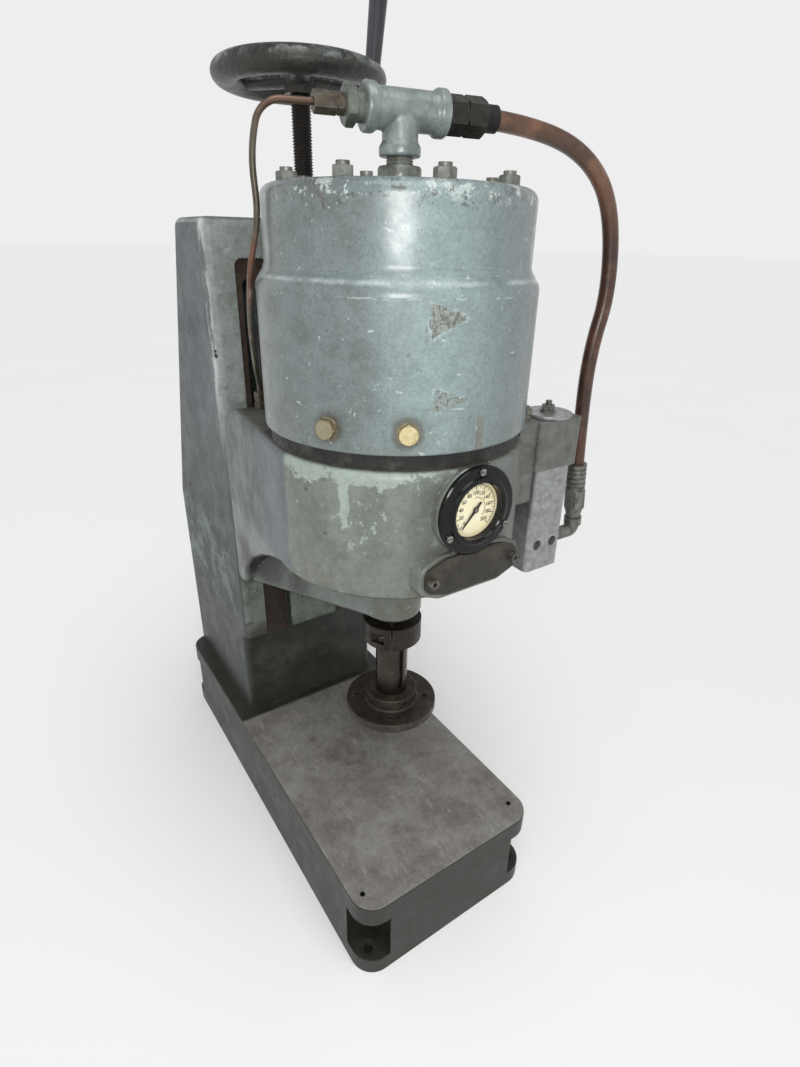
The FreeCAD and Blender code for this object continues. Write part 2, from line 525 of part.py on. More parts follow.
# ------------------------------------------------------------------ cylinder
ties = [(D["tie_pcd_r"] * math.cos(math.radians(D["tie_a0"] + 45 * k)), D["tie_pcd_r"] * math.sin(math.radians(D["tie_a0"] + 45 * k))) for k in range(8)]
b = body("spacer_ring")
revolve(b, loop([(D["bore_r"], D["deck_z"] + 0.02), (D["ring_r"], D["deck_z"] + 0.02), (D["ring_r"], D["ring_z1"] - 0.02), (D["bore_r"], D["ring_z1"] - 0.02)]))
for x, y in ties:
    pocket(b, "XY_Plane", 570, circle(x, y, D["tie_r"] + 0.4), 60)
b.Placement = pl(0, AY, 0)
keep(b)
b = body("cylinder_casting")
revolve(b, loop([(D["bore_r"], D["ring_z1"], 0), (D["cyl_r"], D["ring_z1"], 2), (D["cyl_r"], D["cyl_z1"], 12), (D["cyl_r2"], D["cyl_z2"], 12), (D["cyl_r2"], D["cyl_top"], 9),
                 (17.02, D["cyl_top"]), (17.02, D["roof_z"]), (D["bore_r"], D["roof_z"], 3)]))
for x, y in ties:
    pocket(b, "XY_Plane", 760, circle(x, y, D["tie_r"] + 0.4), 240)
b.Placement = pl(0, AY, 0)
cyl_form = b
PORTS = (210.6, 240.8, 338)
tools = []
for a in PORTS:
    ar = math.radians(a)
    tools.append(prim_cyl("t_port", 6.02, 22, pl(0, 0, 0)))
    tools[-1].Placement = FreeCAD.Placement(V(96.5 * math.cos(ar), AY + 96.5 * math.sin(ar), D["port_z"]), FreeCAD.Rotation(V(0, 0, 1), V(math.cos(ar), math.sin(ar), 0)))
for a in (222, 283):
    ar = math.radians(a)
    tools.append(prim_cyl("t_cap", 2.52, 20, pl(D["tie_pcd_r"] * math.cos(ar), AY + D["tie_pcd_r"] * math.sin(ar), 722)))
cyl = cut("cylinder_casting_bored", cyl_form, fuse("cyl_tools", tools))
cyl_form.Label = "cylinder_form"
keep(cyl, "cylinder_casting")
group("tie_studs", cyl_shape(D["tie_r"], 218.0, 0), [pl(x, AY + y, 531.5) for x, y in ties])
group("tie_nuts", hex_shape(13.8, 7.2, D["tie_r"] + 0.02), [pl(x, AY + y, D["cyl_top"] + 0.05, (0, 0, 1), 15 * i) for i, (x, y) in enumerate(ties)])
group("vent_screws", cap_screw(4.2, 3.4, 2.5, 12, 3), [pl(D["tie_pcd_r"] * math.cos(math.radians(a)), AY + D["tie_pcd_r"] * math.sin(math.radians(a)), D["cyl_top"] + 0.05) for a in (222, 283)])
plug = hex_shape(14.6, 5.2, 0, 1.2).fuse(cyl_shape(8.6, 1.2, 0)).fuse(cyl_shape(6, 17, -17))
pp = []
for a in PORTS:
    ar = math.radians(a)
    pp.append(FreeCAD.Placement(V((D["cyl_r"] + 0.05) * math.cos(ar), AY + (D["cyl_r"] + 0.05) * math.sin(ar), D["port_z"]), FreeCAD.Rotation(V(0, 0, 1), V(math.cos(ar), math.sin(ar), 0))))
group("port_plugs", plug.removeSplitter(), pp)

# ------------------------------------------------------------- ram and platen
b = body("ram")
revolve(b, loop([(0, D["ram_z0"]), (D["ram_r"], D["ram_z0"]), (D["ram_r"], D["piston_z0"]), (12, D["piston_z0"]), (12, D["ram_z1"], 1), (0, D["ram_z1"])]))
kw = D["key_w"] / 2
pocket(b, "XZ_Plane", 30, loop([(-kw, 259), (kw, 259), (kw, 520), (-kw, 520)]), 30 - (D["ram_r"] - D["key_deep"]))
b.Placement = pl(0, AY, 0)
keep(b)
b = body("piston")
revolve(b, loop([(12.02, D["piston_z0"] + 0.02), (D["bore_r"] - 0.1, D["piston_z0"] + 0.02), (D["bore_r"] - 0.1, D["piston_z1"] - 9), (D["bore_r"] - 6, D["piston_z1"] - 9),
                 (D["bore_r"] - 6, D["piston_z1"] - 4), (D["bore_r"] - 0.1, D["piston_z1"] - 4), (D["bore_r"] - 0.1, D["piston_z1"] - 3), (D["bore_r"] - 3, D["piston_z1"] - 3),
                 (12.02, D["piston_z1"] - 3)]))
b.Placement = pl(0, AY, 0)
keep(b)
keep(turned("piston_seal", [(D["bore_r"] - 5.9, D["piston_z1"] - 8.9), (D["bore_r"] - 0.05, D["piston_z1"] - 8.9), (D["bore_r"] - 0.05, D["piston_z1"] - 4.1), (D["bore_r"] - 5.9, D["piston_z1"] - 4.1)], 0, AY))
loose("piston_nut", hex_shape(30, 6.5, 12.03, D["piston_z1"] - 2.95), pl(0, AY, 0))
# return spring between the head and the piston
z0, z1, wr, sr, turns = D["spring_seat_z"] + 0.1, D["piston_z0"] - 0.1, 3.2, 30.0, 9
hx = Part.makeHelix((z1 - z0 - 2 * wr) / turns, z1 - z0 - 2 * wr, sr)
prof = Part.Wire([Part.Circle(V(sr, 0, 0), V(0, 1, 0), wr).toShape()])
spring = Part.Wire(hx.Edges).makePipeShell([prof], True, True)
loose("return_spring", spring, pl(0, AY, z0 + wr))

# split collar with its pinch screw
b = body("collar_form")
revolve(b, loop([(D["ram_r"] + 0.02, D["collar_z0"]), (D["collar_r"], D["collar_z0"], 1), (D["collar_r"], D["collar_z1"], 1), (D["ram_r"] + 0.02, D["collar_z1"])]))
zc = (D["collar_z0"] + D["collar_z1"]) / 2
SA = 236
slit = prim_box("t_slit", 0, 40, -1.1, 1.1, D["collar_z0"] - 2, D["collar_z1"] + 2)
slit.Placement = pl(0, 0, D["collar_z0"] - 2, (0, 0, 1), SA).multiply(pl(0, -1.1, 0))
pock = prim_box("t_pocket", 0, 1, 0, 1, 0, 1)
pock.Length, pock.Width, pock.Height = 12, 20, 12
pock.Placement = pl(0, 0, zc - 6, (0, 0, 1), SA).multiply(pl(20.3, -28, 0))
bore = prim_cyl("t_pinch", 2.6, 60, FreeCAD.Placement(V(0, 0, 0), FreeCAD.Rotation()))
ar = math.radians(SA)
ux = V(math.cos(ar), math.sin(ar), 0)
uy = V(-math.sin(ar), math.cos(ar), 0)
bore.Placement = FreeCAD.Placement(ux * 25 - uy * 20 + V(0, 0, zc), FreeCAD.Rotation(V(0, 0, 1), uy))
bore.Height = 32
col = cut("split_collar", b, fuse("collar_tools", [slit, pock, bore]))
doc.recompute()
cs = col.Shape.copy()
col.Label = "collar_cut"
loose("split_collar", cs, pl(0, AY, 0))
sc = cap_screw(4.4, 5, 2.55, 18, 4)
sp = FreeCAD.Placement(ux * 25 - uy * 8.05 + V(0, AY, zc), FreeCAD.Rotation(V(0, 0, 1), uy * -1))
loose("collar_screw", sc, sp)

# platen with hub
b = body("platen")
r0 = D["ram_r"] + 0.02
revolve(b, loop([(0, D["flange_z0"]), (D["flange_r"], D["flange_z0"], 1.2), (D["flange_r"], D["flange_z1"], 1.2), (D["hub_r"], D["flange_z1"], 2.5), (D["hub_r"], D["hub_z1"], 1.5), (r0, D["hub_z1"]), (r0, D["flange_z1"]), (0, D["flange_z1"])]))
for k in range(4):
    a = math.radians(56 + 90 * k)
    pocket(b, "XY_Plane", 240, circle(38 * math.cos(a), 38 * math.sin(a), 3.3), 20)
pocket(b, "XZ_Plane", 40, circle(0, 244.5, 3.02), 40 - D["ram_r"] + 0.5)
b.Placement = pl(0, AY, 0)
keep(b)
loose("platen_screw", cyl_shape(3.0, 9, 0).cut(hex_shape(3, 4, 0, 6, 0, False)), pl(0, AY - D["ram_r"] - 0.1, 244.5, (1, 0, 0), 90))
# guide screw whose nose rides in the ram keyway
gs = cyl_shape(4.0, 16.5, 0).cut(hex_shape(4, 5, 0, 13, 0, False)).fuse(cyl_shape(3.1, 3.0, -3.0))
loose("guide_screw", gs, pl(0, AY - D["ram_r"] - 0.5, 412, (1, 0, 0), 90))

# ------------------------------------------------------------ pipe fittings
TZ = D["run_z"]
turn = pl(0, AY, TZ, (0, 0, 1), D["tee_turn"])
along = turn.multiply(pl(0, 0, 0, (0, 1, 0), 90))     # local Z runs along the tee, to the right
keep(turned("pipe_coupling", [(9, 722), (17, 722), (17, 752.5, 0), (16, 754), (10.72, 754), (10.72, 738), (9, 738)], 0, AY))
keep(turned("pipe_nipple", [(7.9, 738.1), (10.7, 738.1), (10.7, 772), (7.9, 772)], 0, AY))
tee = Part.makeCylinder(13.9, 68, V(0, 0, -31)).fuse(Part.makeCylinder(16.4, 10.5, V(0, 0, -31))).fuse(Part.makeCylinder(16.4, 10.5, V(0, 0, 26.5)))
tee.Placement = along
leg = Part.makeCylinder(13.8, TZ - 760, V(0, AY, 760)).fuse(Part.makeCylinder(16.2, 9, V(0, AY, 759.2)))
tee = tee.fuse(leg)
core = Part.makeCylinder(10.75, 20, V(0, 0, -32)).fuse(Part.makeCylinder(10.75, 22, V(0, 0, 18))).fuse(Part.makeCylinder(8.5, 50, V(0, 0, -16)))
core.Placement = along
tee = tee.cut(core).cut(Part.makeCylinder(8.5, TZ - 750, V(0, AY, 750))).cut(Part.makeCylinder(10.72, 24, V(0, AY, 750)))
loose("pipe_tee", tee.removeSplitter())
# left: reducing bushing, tube connector, nut
s = cyl_shape(10.7, 20, -36.4).fuse(hex_shape(24.5, 8.1, 0, -44.5)).cut(cyl_shape(4.52, 40, -50))
loose("tee_bushing", s.removeSplitter(), along)
s = hex_shape(12.7, 5.4, 0, -49.9).fuse(cyl_shape(4.5, 9, -44.6)).fuse(cyl_shape(4.6, 6, -55)).cut(cyl_shape(3.25, 40, -60))
loose("tube_connector", s.removeSplitter(), along)
s = hex_shape(13.2, 17.2, 0, -67.2).cut(cyl_shape(4.63, 12, -56)).cut(cyl_shape(2.8, 30, -75))
loose("tube_nut", s.removeSplitter(), along)
# right: hose adaptor, swivel nut, ferrule
s = cyl_shape(10.7, 17, 20.1).fuse(hex_shape(24, 14.9, 0, 37.05)).fuse(cyl_shape(8.0, 10, 51.9)).cut(cyl_shape(4.5, 60, 15))
loose("hose_adaptor", s.removeSplitter(), along)
s = hex_shape(24.5, 16.9, 0, 52.05).cut(cyl_shape(8.03, 11, 51)).cut(cyl_shape(7.3, 20, 60))
loose("hose_swivel_nut", s.removeSplitter(), along)
loose("hose_ferrule_top", cyl_shape(9.6, 11.5, 69.0, D["hose_d"] / 2 + 0.02), along)


def route(pts):
    """Straight runs joined by tangent arcs, one wire."""
    P = [V(*p) for p in pts]
    edges = []
    last = P[0]
    radii = []
    for i in range(1, len(P) - 1):
        u = P[i - 1] - P[i]
        w = P[i + 1] - P[i]
        run = min(u.Length, w.Length)
        turn_a = math.pi - u.getAngle(w)
        rad = 0.45 * run / math.tan(turn_a / 2)
        un = V(u).normalize()
        wn = V(w).normalize()
        t = 0.45 * run
        s0 = P[i] + un * t
        e0 = P[i] + wn * t
        bis = (un + wn).normalize()
        half = (math.pi - turn_a) / 2
        c = P[i] + bis * (rad / math.sin(half))
        m0 = c - bis * rad
        edges.append(Part.LineSegment(last, s0).toShape())
        edges.append(Part.Arc(s0, m0, e0).toShape())
        last = e0
        radii.append(round(rad, 1))
    edges.append(Part.LineSegment(last, P[-1]).toShape())
    print("radii", radii)
    return Part.Wire(edges)


def piped(wire, rads):
    """Tube swept along a wire; rads = outer[, inner]."""
    e = wire.Edges[0]
    p = e.valueAt(e.FirstParameter)
    tdir = e.tangentAt(e.FirstParameter)
    res = []
    for rr_ in rads:
        pr = Part.Wire([Part.Circle(p, tdir, rr_).toShape()])
        sh = wire.makePipeShell([pr], True, False)
        print("tube volume", round(sh.Volume, 1), "section x length", round(math.pi * rr_ * rr_ * wire.Length, 1), "length", round(wire.Length, 1))
        res.append(sh)
    return res[0].cut(res[1]) if len(res) > 1 else res[0]


ta = math.radians(D["tee_turn"])


def run_pt(s_, z_=None):
    return (s_ * math.cos(ta), AY + s_ * math.sin(ta), TZ if z_ is None else z_)


TUBE = [run_pt(-58), (-103.0, -125.0, 789.6), (-113.9, -129.5, 756), (-110.8, -128.0, 716), (-115.4, -115.5, 683), (-108.0, -86, 641),
        (-93.5, -52.5, 598.4), (-74.5, -9.5, 573.5), (-74.5, -9.5, 551)]
w = route(TUBE)
tube = piped(w, [D["tube_d"] / 2])
loose("copper_tube", tube)
fit = hex_shape(11.1, 7, 0, 546.05).fuse(cyl_shape(4.55, 18, 530)).fuse(cyl_shape(4.5, 8, 550))
fit = fit.cut(cyl_shape(2.7, 30, 548.5))
fit = fit.fuse(hex_shape(10.6, 8.4, 0, 554.3).cut(cyl_shape(2.7, 30, 548.5)))
loose("deck_fitting", fit.removeSplitter(), pl(-74.5, -9.5, 0))

HOSE = [run_pt(72), (121.1, -171.4, 788.1), (172.4, -182.4, 770.1), (202.7, -188.8, 733.0), (213.5, -191.1, 662.2), (202.6, -188.8, 610.7), (202.4, -188.9, 549.2), (207.8, -189.6, 486)]
w = route(HOSE)
hose = piped(w, [D["hose_d"] / 2])
loose("air_hose", hose)
# lower hose end: ribbed ferrule, swivel nut, elbow into the valve
hx_, hy_, hz_ = HOSE[-1]
dv = (V(*HOSE[-1]) - V(*HOSE[-2])).normalize()
low = FreeCAD.Placement(V(hx_, hy_, hz_), FreeCAD.Rotation(V(0, 0, 1), dv))
pts = [(D["hose_d"] / 2 + 0.02, -4)]
z = -4
for k in range(5):
    pts += [(10.4, z), (10.4, z + 3.2), (9.6, z + 4.2), (9.6, z + 5.2)]
    z += 5.2
pts += [(10.2, z), (10.2, z + 3), (5, z + 3), (5, 3), (D["hose_d"] / 2 + 0.02, 3)]
ff = Part.Face(Part.makePolygon([V(p[0], 0, p[1]) for p in pts] + [V(pts[0][0], 0, pts[0][1])])).revolve(V(0, 0, 0), V(0, 0, 1), 360)
loose("hose_ferrule_low", ff, low)
s = hex_shape(21, 22, 0, 25.1).fuse(Part.makeCone(10.2, 7.5, 12, V(0, 0, 47.0))).cut(cyl_shape(5, 60, 20))
loose("hose_nut_low", s.removeSplitter(), low)
# elbow
q0 = V(hx_, hy_, hz_) + dv * 59.2
q1 = q0 + dv * 16
ew = [q0, q1, V(180, -187.5, q1.z - 2.0)]
wire = route([tuple(p) for p in ew])
el_ = piped(wire, [7.4])
ring = Part.makeCylinder(9.5, 9, V(0, 0, 0))
ring.Placement = FreeCAD.Placement(q0, FreeCAD.Rotation(V(0, 0, 1), dv))
el_ = el_.fuse(ring)
loose("valve_elbow", el_.removeSplitter())
EZ = q1.z - 2.0
print("elbow z", EZ)

# ---------------------------------------------------------------- air valve
vz0, vz1 = EZ - 22, 501.5
b = body("valve_body")
pad(b, "XY_Plane", vz0, loop([(127, -208, 6), (175, -208, 6), (175, -167, 6), (127, -167, 6)]), vz1 - vz0)
pocket(b, "YZ_Plane", 180, circle(-187.5, EZ, 9.6), 12)
pad(b, "YZ_Plane", 168, circle(-187.5, EZ, 12.5), 11.9)
pocket(b, "YZ_Plane", 181, circle(-187.5, EZ, 7.45), 22)
pocket(b, "XY_Plane", vz0, circle(151, -187.5, 9.2), 24, rev=True)
pocket(b, "XZ_Plane", 209, circle(140, vz0 + 30, 5.5), 9)
pocket(b, "XZ_Plane", 209, circle(162, vz0 + 30, 5.5), 9)
keep(b)
b = body("valve_block")
pad(b, "XY_Plane", 501.55, loop([(122.2, -210.5, 5), (180, -210.5, 5), (180, -165.5, 5), (122.2, -165.5, 5)]), 48.4)
pocket(b, "XY_Plane", 552, circle(153, -188, 3.05), 30)
keep(b)
keep(turned("valve_disc", [(3.2, 550.0), (24, 550.0, 1), (24, 553.6, 1), (3.2, 553.6)], 153, -188))
loose("valve_bolt", hex_shape(11.1, 5.5, 0, 555.2).fuse(cyl_shape(8, 1.6, 553.65)).fuse(cyl_shape(3.0, 38, 526)).fuse(cyl_shape(3.0, 4, 560.6)).removeSplitter(), pl(153, -188, 0))
# bracket from the head to the valve
b = body("valve_bracket")
pad(b, "YZ_Plane", 100, loop([(-206, 468, 4), (-166, 468, 4), (-166, 552, 4), (-206, 552, 4)]), 22.1)
pocket(b, "XY_Plane", 400, circle(0, AY, D["drum_r"] + 0.05), 300, rev=True)
for z in (480, 530):
    pocket(b, "YZ_Plane", 130, circle(-172, z, 2.6), 40)
    pocket(b, "YZ_Plane", 130, circle(-172, z, 4.4), 13)
pocket(b, "XY_Plane", 560, circle(116.9, -193, 3.22), 34)
keep(b)
group("bracket_bolts", cap_screw(4.2, 5, 2.5, 13.2, 3), [pl(117.05, -172, z, (0, 1, 0), 90) for z in (480, 530)])
loose("bracket_stud", cyl_shape(3.2, 37.6, 527).fuse(hex_shape(11, 6.5, 0, 556.5)).fuse(cyl_shape(6.2, 4.4, 552.1)).removeSplitter(), pl(116.9, -193, 0))

# --------------------------------------------------------------------- gauge
GZ = D["gauge_z"]
GY = D["gauge_pad_y"]


def faced(pts):
    """Outline in (radius, distance in front of the pad) turned about the gauge axis."""
    f = Part.Face(Part.makePolygon([V(p[0], 0, p[1]) for p in pts] + [V(pts[0][0], 0, pts[0][1])]))
    return f.revolve(V(0, 0, 0), V(0, 0, 1), 360)


gplace = pl(0, GY, GZ, (1, 0, 0), 90)       # local +Z looks out of the press
case = faced([(0, -24), (25.2, -24), (25.2, 0.05), (37.75, 0.05), (37.75, 2.6), (36.6, 3.6), (29.8, 4.2), (28.9, 5.9), (27.6, 6.5), (25.2, 6.5), (24.1, 5.4), (24.1, -2.0), (0, -2.0)])
for k in (90, 210, 330):
    a = math.radians(k)
    case = case.cut(Part.makeCylinder(1.9, 20, V(33.5 * math.cos(a), 33.5 * math.sin(a), -5)))
case = case.cut(Part.makeCylinder(1.2, 6, V(0, 0, -6)))
loose("gauge_case", case, gplace)
loose("gauge_dial", cyl_shape(23.7, 1.0, -1.9, 1.6), gplace)
nd = Part.makePolygon([V(-0.9, -8, 0), V(0.9, -8, 0), V(1.5, 0, 0), V(0.35, 19.5, 0), V(-0.35, 19.5, 0), V(-1.5, 0, 0), V(-0.9, -8, 0)])
nd = Part.Face(nd).extrude(V(0, 0, 0.5))
nd.translate(V(0, 0, 3.2))
nd = nd.fuse(cyl_shape(1.0, 5.6, -1.6)).fuse(cyl_shape(2.4, 1.6, 2.9))
nd.translate(V(0, 0, -3.0))
nd.rotate(V(0, 0, 0), V(0, 0, 1), 138)
loose("gauge_needle", nd.removeSplitter(), gplace)
loose("gauge_lens", cyl_shape(23.9, 1.4, 3.4), gplace)
sc = cap_screw(2.9, 1.9, 1.6, 10)
sc = sc.cut(Part.makeBox(6, 0.8, 1, V(-3, -0.4, 1.1)))
group("gauge_screws", sc, [pl(33.5 * math.cos(math.radians(k)), GY - 4.15, GZ + 33.5 * math.sin(math.radians(k)), (1, 0, 0), 90) for k in (90, 210, 330)])

# cover plate and its two screws
b = body("cover_plate")
pz = D["plate_z"]
pad(b, "XZ_Plane", -GY + 0.05, loop([(-28, pz + 16.5, 14), (28, pz + 16.5, 14), (48.5, pz + 9, 8), (48.5, pz - 10, 8), (28, pz - 16.5, 14), (-28, pz - 16.5, 14), (-48.5, pz - 10, 8), (-48.5, pz + 9, 8)]), 3)
for x in (-43.5, 43.5):
    pocket(b, "XZ_Plane", -GY + 5, circle(x, pz - 0.5, 2.7), 20)
pocket(b, "XZ_Plane", -GY + 5, circle(0, GZ, 38.2), 20)
keep(b)
group("cover_screws", cap_screw(4.4, 5, 2.5, 14, 4), [pl(x, GY - 3.1, pz - 0.5, (1, 0, 0), 90) for x in (-43.5, 43.5)])

# --------------------------------------------------------------------- write
doc.recompute()
for o in doc.Objects:
    if "Invalid" in o.State or "Error" in o.State:
        print("STATE", o.Name, o.State)
os.makedirs("parts", exist_ok=True)
names = []
for o in OUT:
    sh = o.Shape
    ok = (not sh.isNull()) and sh.isValid() and len(sh.Solids) > 0 and sh.Volume > 0
    bb = sh.BoundBox
    print("%-18s ok=%s solids=%d vol=%.0f  x %.1f..%.1f y %.1f..%.1f z %.1f..%.1f" % (o.Label, ok, len(sh.Solids), sh.Volume, bb.XMin, bb.XMax, bb.YMin, bb.YMax, bb.ZMin, bb.ZMax))
    if not ok:
        raise SystemExit("bad sub-part " + o.Label)
    names.append(o.Label)
    sh.exportStep("parts/%s.step" % o.Label)
if len(set(names)) != len(names):
    raise SystemExit("label used twice")
print("sub-parts", len(names))
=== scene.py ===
import bpy, bmesh, math
from mathutils import Vector, Matrix


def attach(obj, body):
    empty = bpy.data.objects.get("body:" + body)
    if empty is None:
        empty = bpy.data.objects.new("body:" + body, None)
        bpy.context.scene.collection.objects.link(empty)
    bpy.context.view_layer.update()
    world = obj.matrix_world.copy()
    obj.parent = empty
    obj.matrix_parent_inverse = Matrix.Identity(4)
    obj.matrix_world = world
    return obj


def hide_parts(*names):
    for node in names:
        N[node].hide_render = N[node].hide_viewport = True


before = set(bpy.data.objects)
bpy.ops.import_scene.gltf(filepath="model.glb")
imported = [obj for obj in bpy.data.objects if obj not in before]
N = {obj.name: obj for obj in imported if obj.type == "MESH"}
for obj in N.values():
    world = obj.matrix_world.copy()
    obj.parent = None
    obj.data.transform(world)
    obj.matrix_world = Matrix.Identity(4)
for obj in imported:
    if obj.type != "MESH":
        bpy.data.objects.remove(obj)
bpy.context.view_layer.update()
W_LOW, W_TOP, SUN, KEY = 0.855, 0.33, 1.54, 1.70

# ------------------------------------------------------------------ camera
yaw, pitch, roll = 0.6022, 0.4472, 0.0215
fwd = Vector((math.sin(yaw) * math.cos(pitch), math.cos(yaw) * math.cos(pitch), -math.sin(pitch)))
rt = Vector((math.cos(yaw), -math.sin(yaw), 0))
upv = rt.cross(fwd)
c, s = math.cos(roll), math.sin(roll)
r2 = rt * c + upv * s
u2 = upv * c - rt * s
cam_data = bpy.data.cameras.new("camera")
cam = bpy.data.objects.new("camera", cam_data)
bpy.context.scene.collection.objects.link(cam)
cam.matrix_world = Matrix(((r2.x, u2.x, -fwd.x, -0.3036), (r2.y, u2.y, -fwd.y, -0.5986), (r2.z, u2.z, -fwd.z, 0.7022), (0, 0, 0, 1)))
cam_data.sensor_width = 36
cam_data.lens = 608.67 / 1067 * 36
cam_data.clip_start = 0.02
bpy.context.scene.camera = cam

AX = Vector((0, -0.1457, 0))
TEE_Z = 0.7905
TA = math.radians(-12)
E1 = Vector((math.cos(TA), math.sin(TA), 0))


def run_pt(sm):
    return Vector((0, AX.y, TEE_Z)) + E1 * sm


# --------------------------------------------------------------- materials
def lin(rgb):
    out = []
    for v in rgb:
        v = v / 255.0
        out.append(v / 12.92 if v <= 0.04045 else ((v + 0.055) / 1.055) ** 2.4)
    return (out[0], out[1], out[2], 1.0)


class Mat:
    def __init__(self, name):
        self.m = bpy.data.materials.new(name)
        self.m.use_nodes = True
        self.t = self.m.node_tree
        self.t.nodes.clear()
        self.out = self.t.nodes.new("ShaderNodeOutputMaterial")
        self.b = self.t.nodes.new("ShaderNodeBsdfPrincipled")
        self.t.links.new(self.b.outputs[0], self.out.inputs[0])
        tc = self.t.nodes.new("ShaderNodeTexCoord")
        self.P = tc.outputs["Object"]
        sp = self.t.nodes.new("ShaderNodeSeparateXYZ")
        self.t.links.new(self.P, sp.inputs[0])
        self.x, self.y, self.z = sp.outputs
        g = self.t.nodes.new("ShaderNodeNewGeometry")
        self.geo_n = g.outputs["Normal"]
        ns = self.t.nodes.new("ShaderNodeSeparateXYZ")
        self.t.links.new(tc.outputs["Normal"], ns.inputs[0])
        self.nx, self.ny, self.nz = ns.outputs

    def put(self, sock, v):
        if isinstance(v, bpy.types.NodeSocket):
            self.t.links.new(v, sock)
        elif v is not None:
            sock.default_value = v

    def math(self, op, a, b=None, c=None, clamp=False):
        n = self.t.nodes.new("ShaderNodeMath")
        n.operation = op
        n.use_clamp = clamp
        self.put(n.inputs[0], a)
        if b is not None:
            self.put(n.inputs[1], b)
        if c is not None:
            self.put(n.inputs[2], c)
        return n.outputs[0]

    def mul(self, a, b):
        return self.math("MULTIPLY", a, b)

    def mx(self, a, b):
        return self.math("MAXIMUM", a, b)

    def plus(self, a, b):
        return self.math("ADD", a, b)

    def add(self, a, b):
        return self.math("ADD", a, b, clamp=True)

    def sub(self, a, b):
        return self.math("SUBTRACT", a, b, clamp=True)

    def inv(self, a):
        return self.math("SUBTRACT", 1.0, a, clamp=True)

    def vmath(self, op, a, b):
        n = self.t.nodes.new("ShaderNodeVectorMath")
        n.operation = op
        self.put(n.inputs[0], a)
        self.put(n.inputs[1], b)
        return n.outputs[0]

    def step(self, v, a, b):
        """0 below a, 1 above b, smooth between; a > b falls instead."""
        n = self.t.nodes.new("ShaderNodeMapRange")
        n.interpolation_type = "SMOOTHSTEP"
        self.put(n.inputs[0], v)
        if a < b:
            n.inputs[1].default_value, n.inputs[2].default_value = a, b
            n.inputs[3].default_value, n.inputs[4].default_value = 0, 1
        else:
            n.inputs[1].default_value, n.inputs[2].default_value = b, a
            n.inputs[3].default_value, n.inputs[4].default_value = 1, 0
        return n.outputs[0]

    def band(self, v, a, b, soft):
        return self.mul(self.step(v, a - soft, a + soft), self.step(v, b + soft, b - soft))

    def noise(self, scale, detail=5, rough=0.55, vec=None, dist=0.0, off=None):
        n = self.t.nodes.new("ShaderNodeTexNoise")
        n.inputs["Scale"].default_value = scale
        n.inputs["Detail"].default_value = detail
        n.inputs["Roughness"].default_value = rough
        n.inputs["Distortion"].default_value = dist
        v = vec if vec is not None else self.P
        if off:
            v = self.vmath("ADD", v, off)
        self.put(n.inputs["Vector"], v)
        return n.outputs[0]

    def voro(self, scale, vec=None, feature="F1", rand=1.0):
        n = self.t.nodes.new("ShaderNodeTexVoronoi")
        n.feature = feature
        n.inputs["Scale"].default_value = scale
        n.inputs["Randomness"].default_value = rand
        self.put(n.inputs["Vector"], vec if vec is not None else self.P)
        return n.outputs[0]

    def stretch(self, sx, sy, sz):
        return self.vmath("MULTIPLY", self.P, (sx, sy, sz))

    def mix(self, f, a, b):
        n = self.t.nodes.new("ShaderNodeMix")
        n.data_type = "RGBA"
        self.put(n.inputs[0], f)
        self.put(n.inputs[6], a)
        self.put(n.inputs[7], b)
        return n.outputs[2]

    def shade(self, col, f, k=1.0):
        """Colour times a grey factor, mixed in by k."""
        n = self.t.nodes.new("ShaderNodeMix")
        n.data_type = "RGBA"
        n.blend_type = "MULTIPLY"
        self.put(n.inputs[0], k)
        self.put(n.inputs[6], col)
        self.put(n.inputs[7], f)
        return n.outputs[2]

    def fmix(self, f, a, b):
        n = self.t.nodes.new("ShaderNodeMix")
        n.data_type = "FLOAT"
        self.put(n.inputs[0], f)
        self.put(n.inputs[2], a)
        self.put(n.inputs[3], b)
        return n.outputs[0]

    def edge(self, radius, lo=0.02, hi=0.25):
        """Mask of convex and concave edges."""
        bv = self.t.nodes.new("ShaderNodeBevel")
        bv.samples = 4
        bv.inputs[0].default_value = radius
        d = self.t.nodes.new("ShaderNodeVectorMath")
        d.operation = "DOT_PRODUCT"
        self.put(d.inputs[0], bv.outputs[0])
        self.put(d.inputs[1], self.geo_n)
        return self.step(self.math("SUBTRACT", 1.0, d.outputs[1]), lo, hi)

    def near(self, c0, r0, r1, wob=0.0, ws=140):
        """1 within r0 of a point, 0 beyond r1."""
        d = self.t.nodes.new("ShaderNodeVectorMath")
        d.operation = "DISTANCE"
        self.put(d.inputs[0], self.P)
        d.inputs[1].default_value = c0
        v = d.outputs[1]
        if wob:
            v = self.plus(v, self.mul(self.plus(self.noise(ws, 4, 0.6), -0.5), wob))
        return self.step(v, r1, r0)

    def under(self, v, line, x, slope, soft):
        """1 where v < line + slope * x."""
        t = self.math("SUBTRACT", v, self.plus(self.mul(x, slope), line))
        return self.step(t, soft, -soft)

    def bump(self, h, strength, dist=0.001, soft=None):
        n = self.t.nodes.new("ShaderNodeBump")
        n.inputs["Strength"].default_value = strength
        n.inputs["Distance"].default_value = dist
        self.put(n.inputs["Height"], h)
        if soft:
            bv = self.t.nodes.new("ShaderNodeBevel")
            bv.samples = 4
            bv.inputs[0].default_value = soft
            self.put(n.inputs["Normal"], bv.outputs[0])
        self.put(self.b.inputs["Normal"], n.outputs[0])

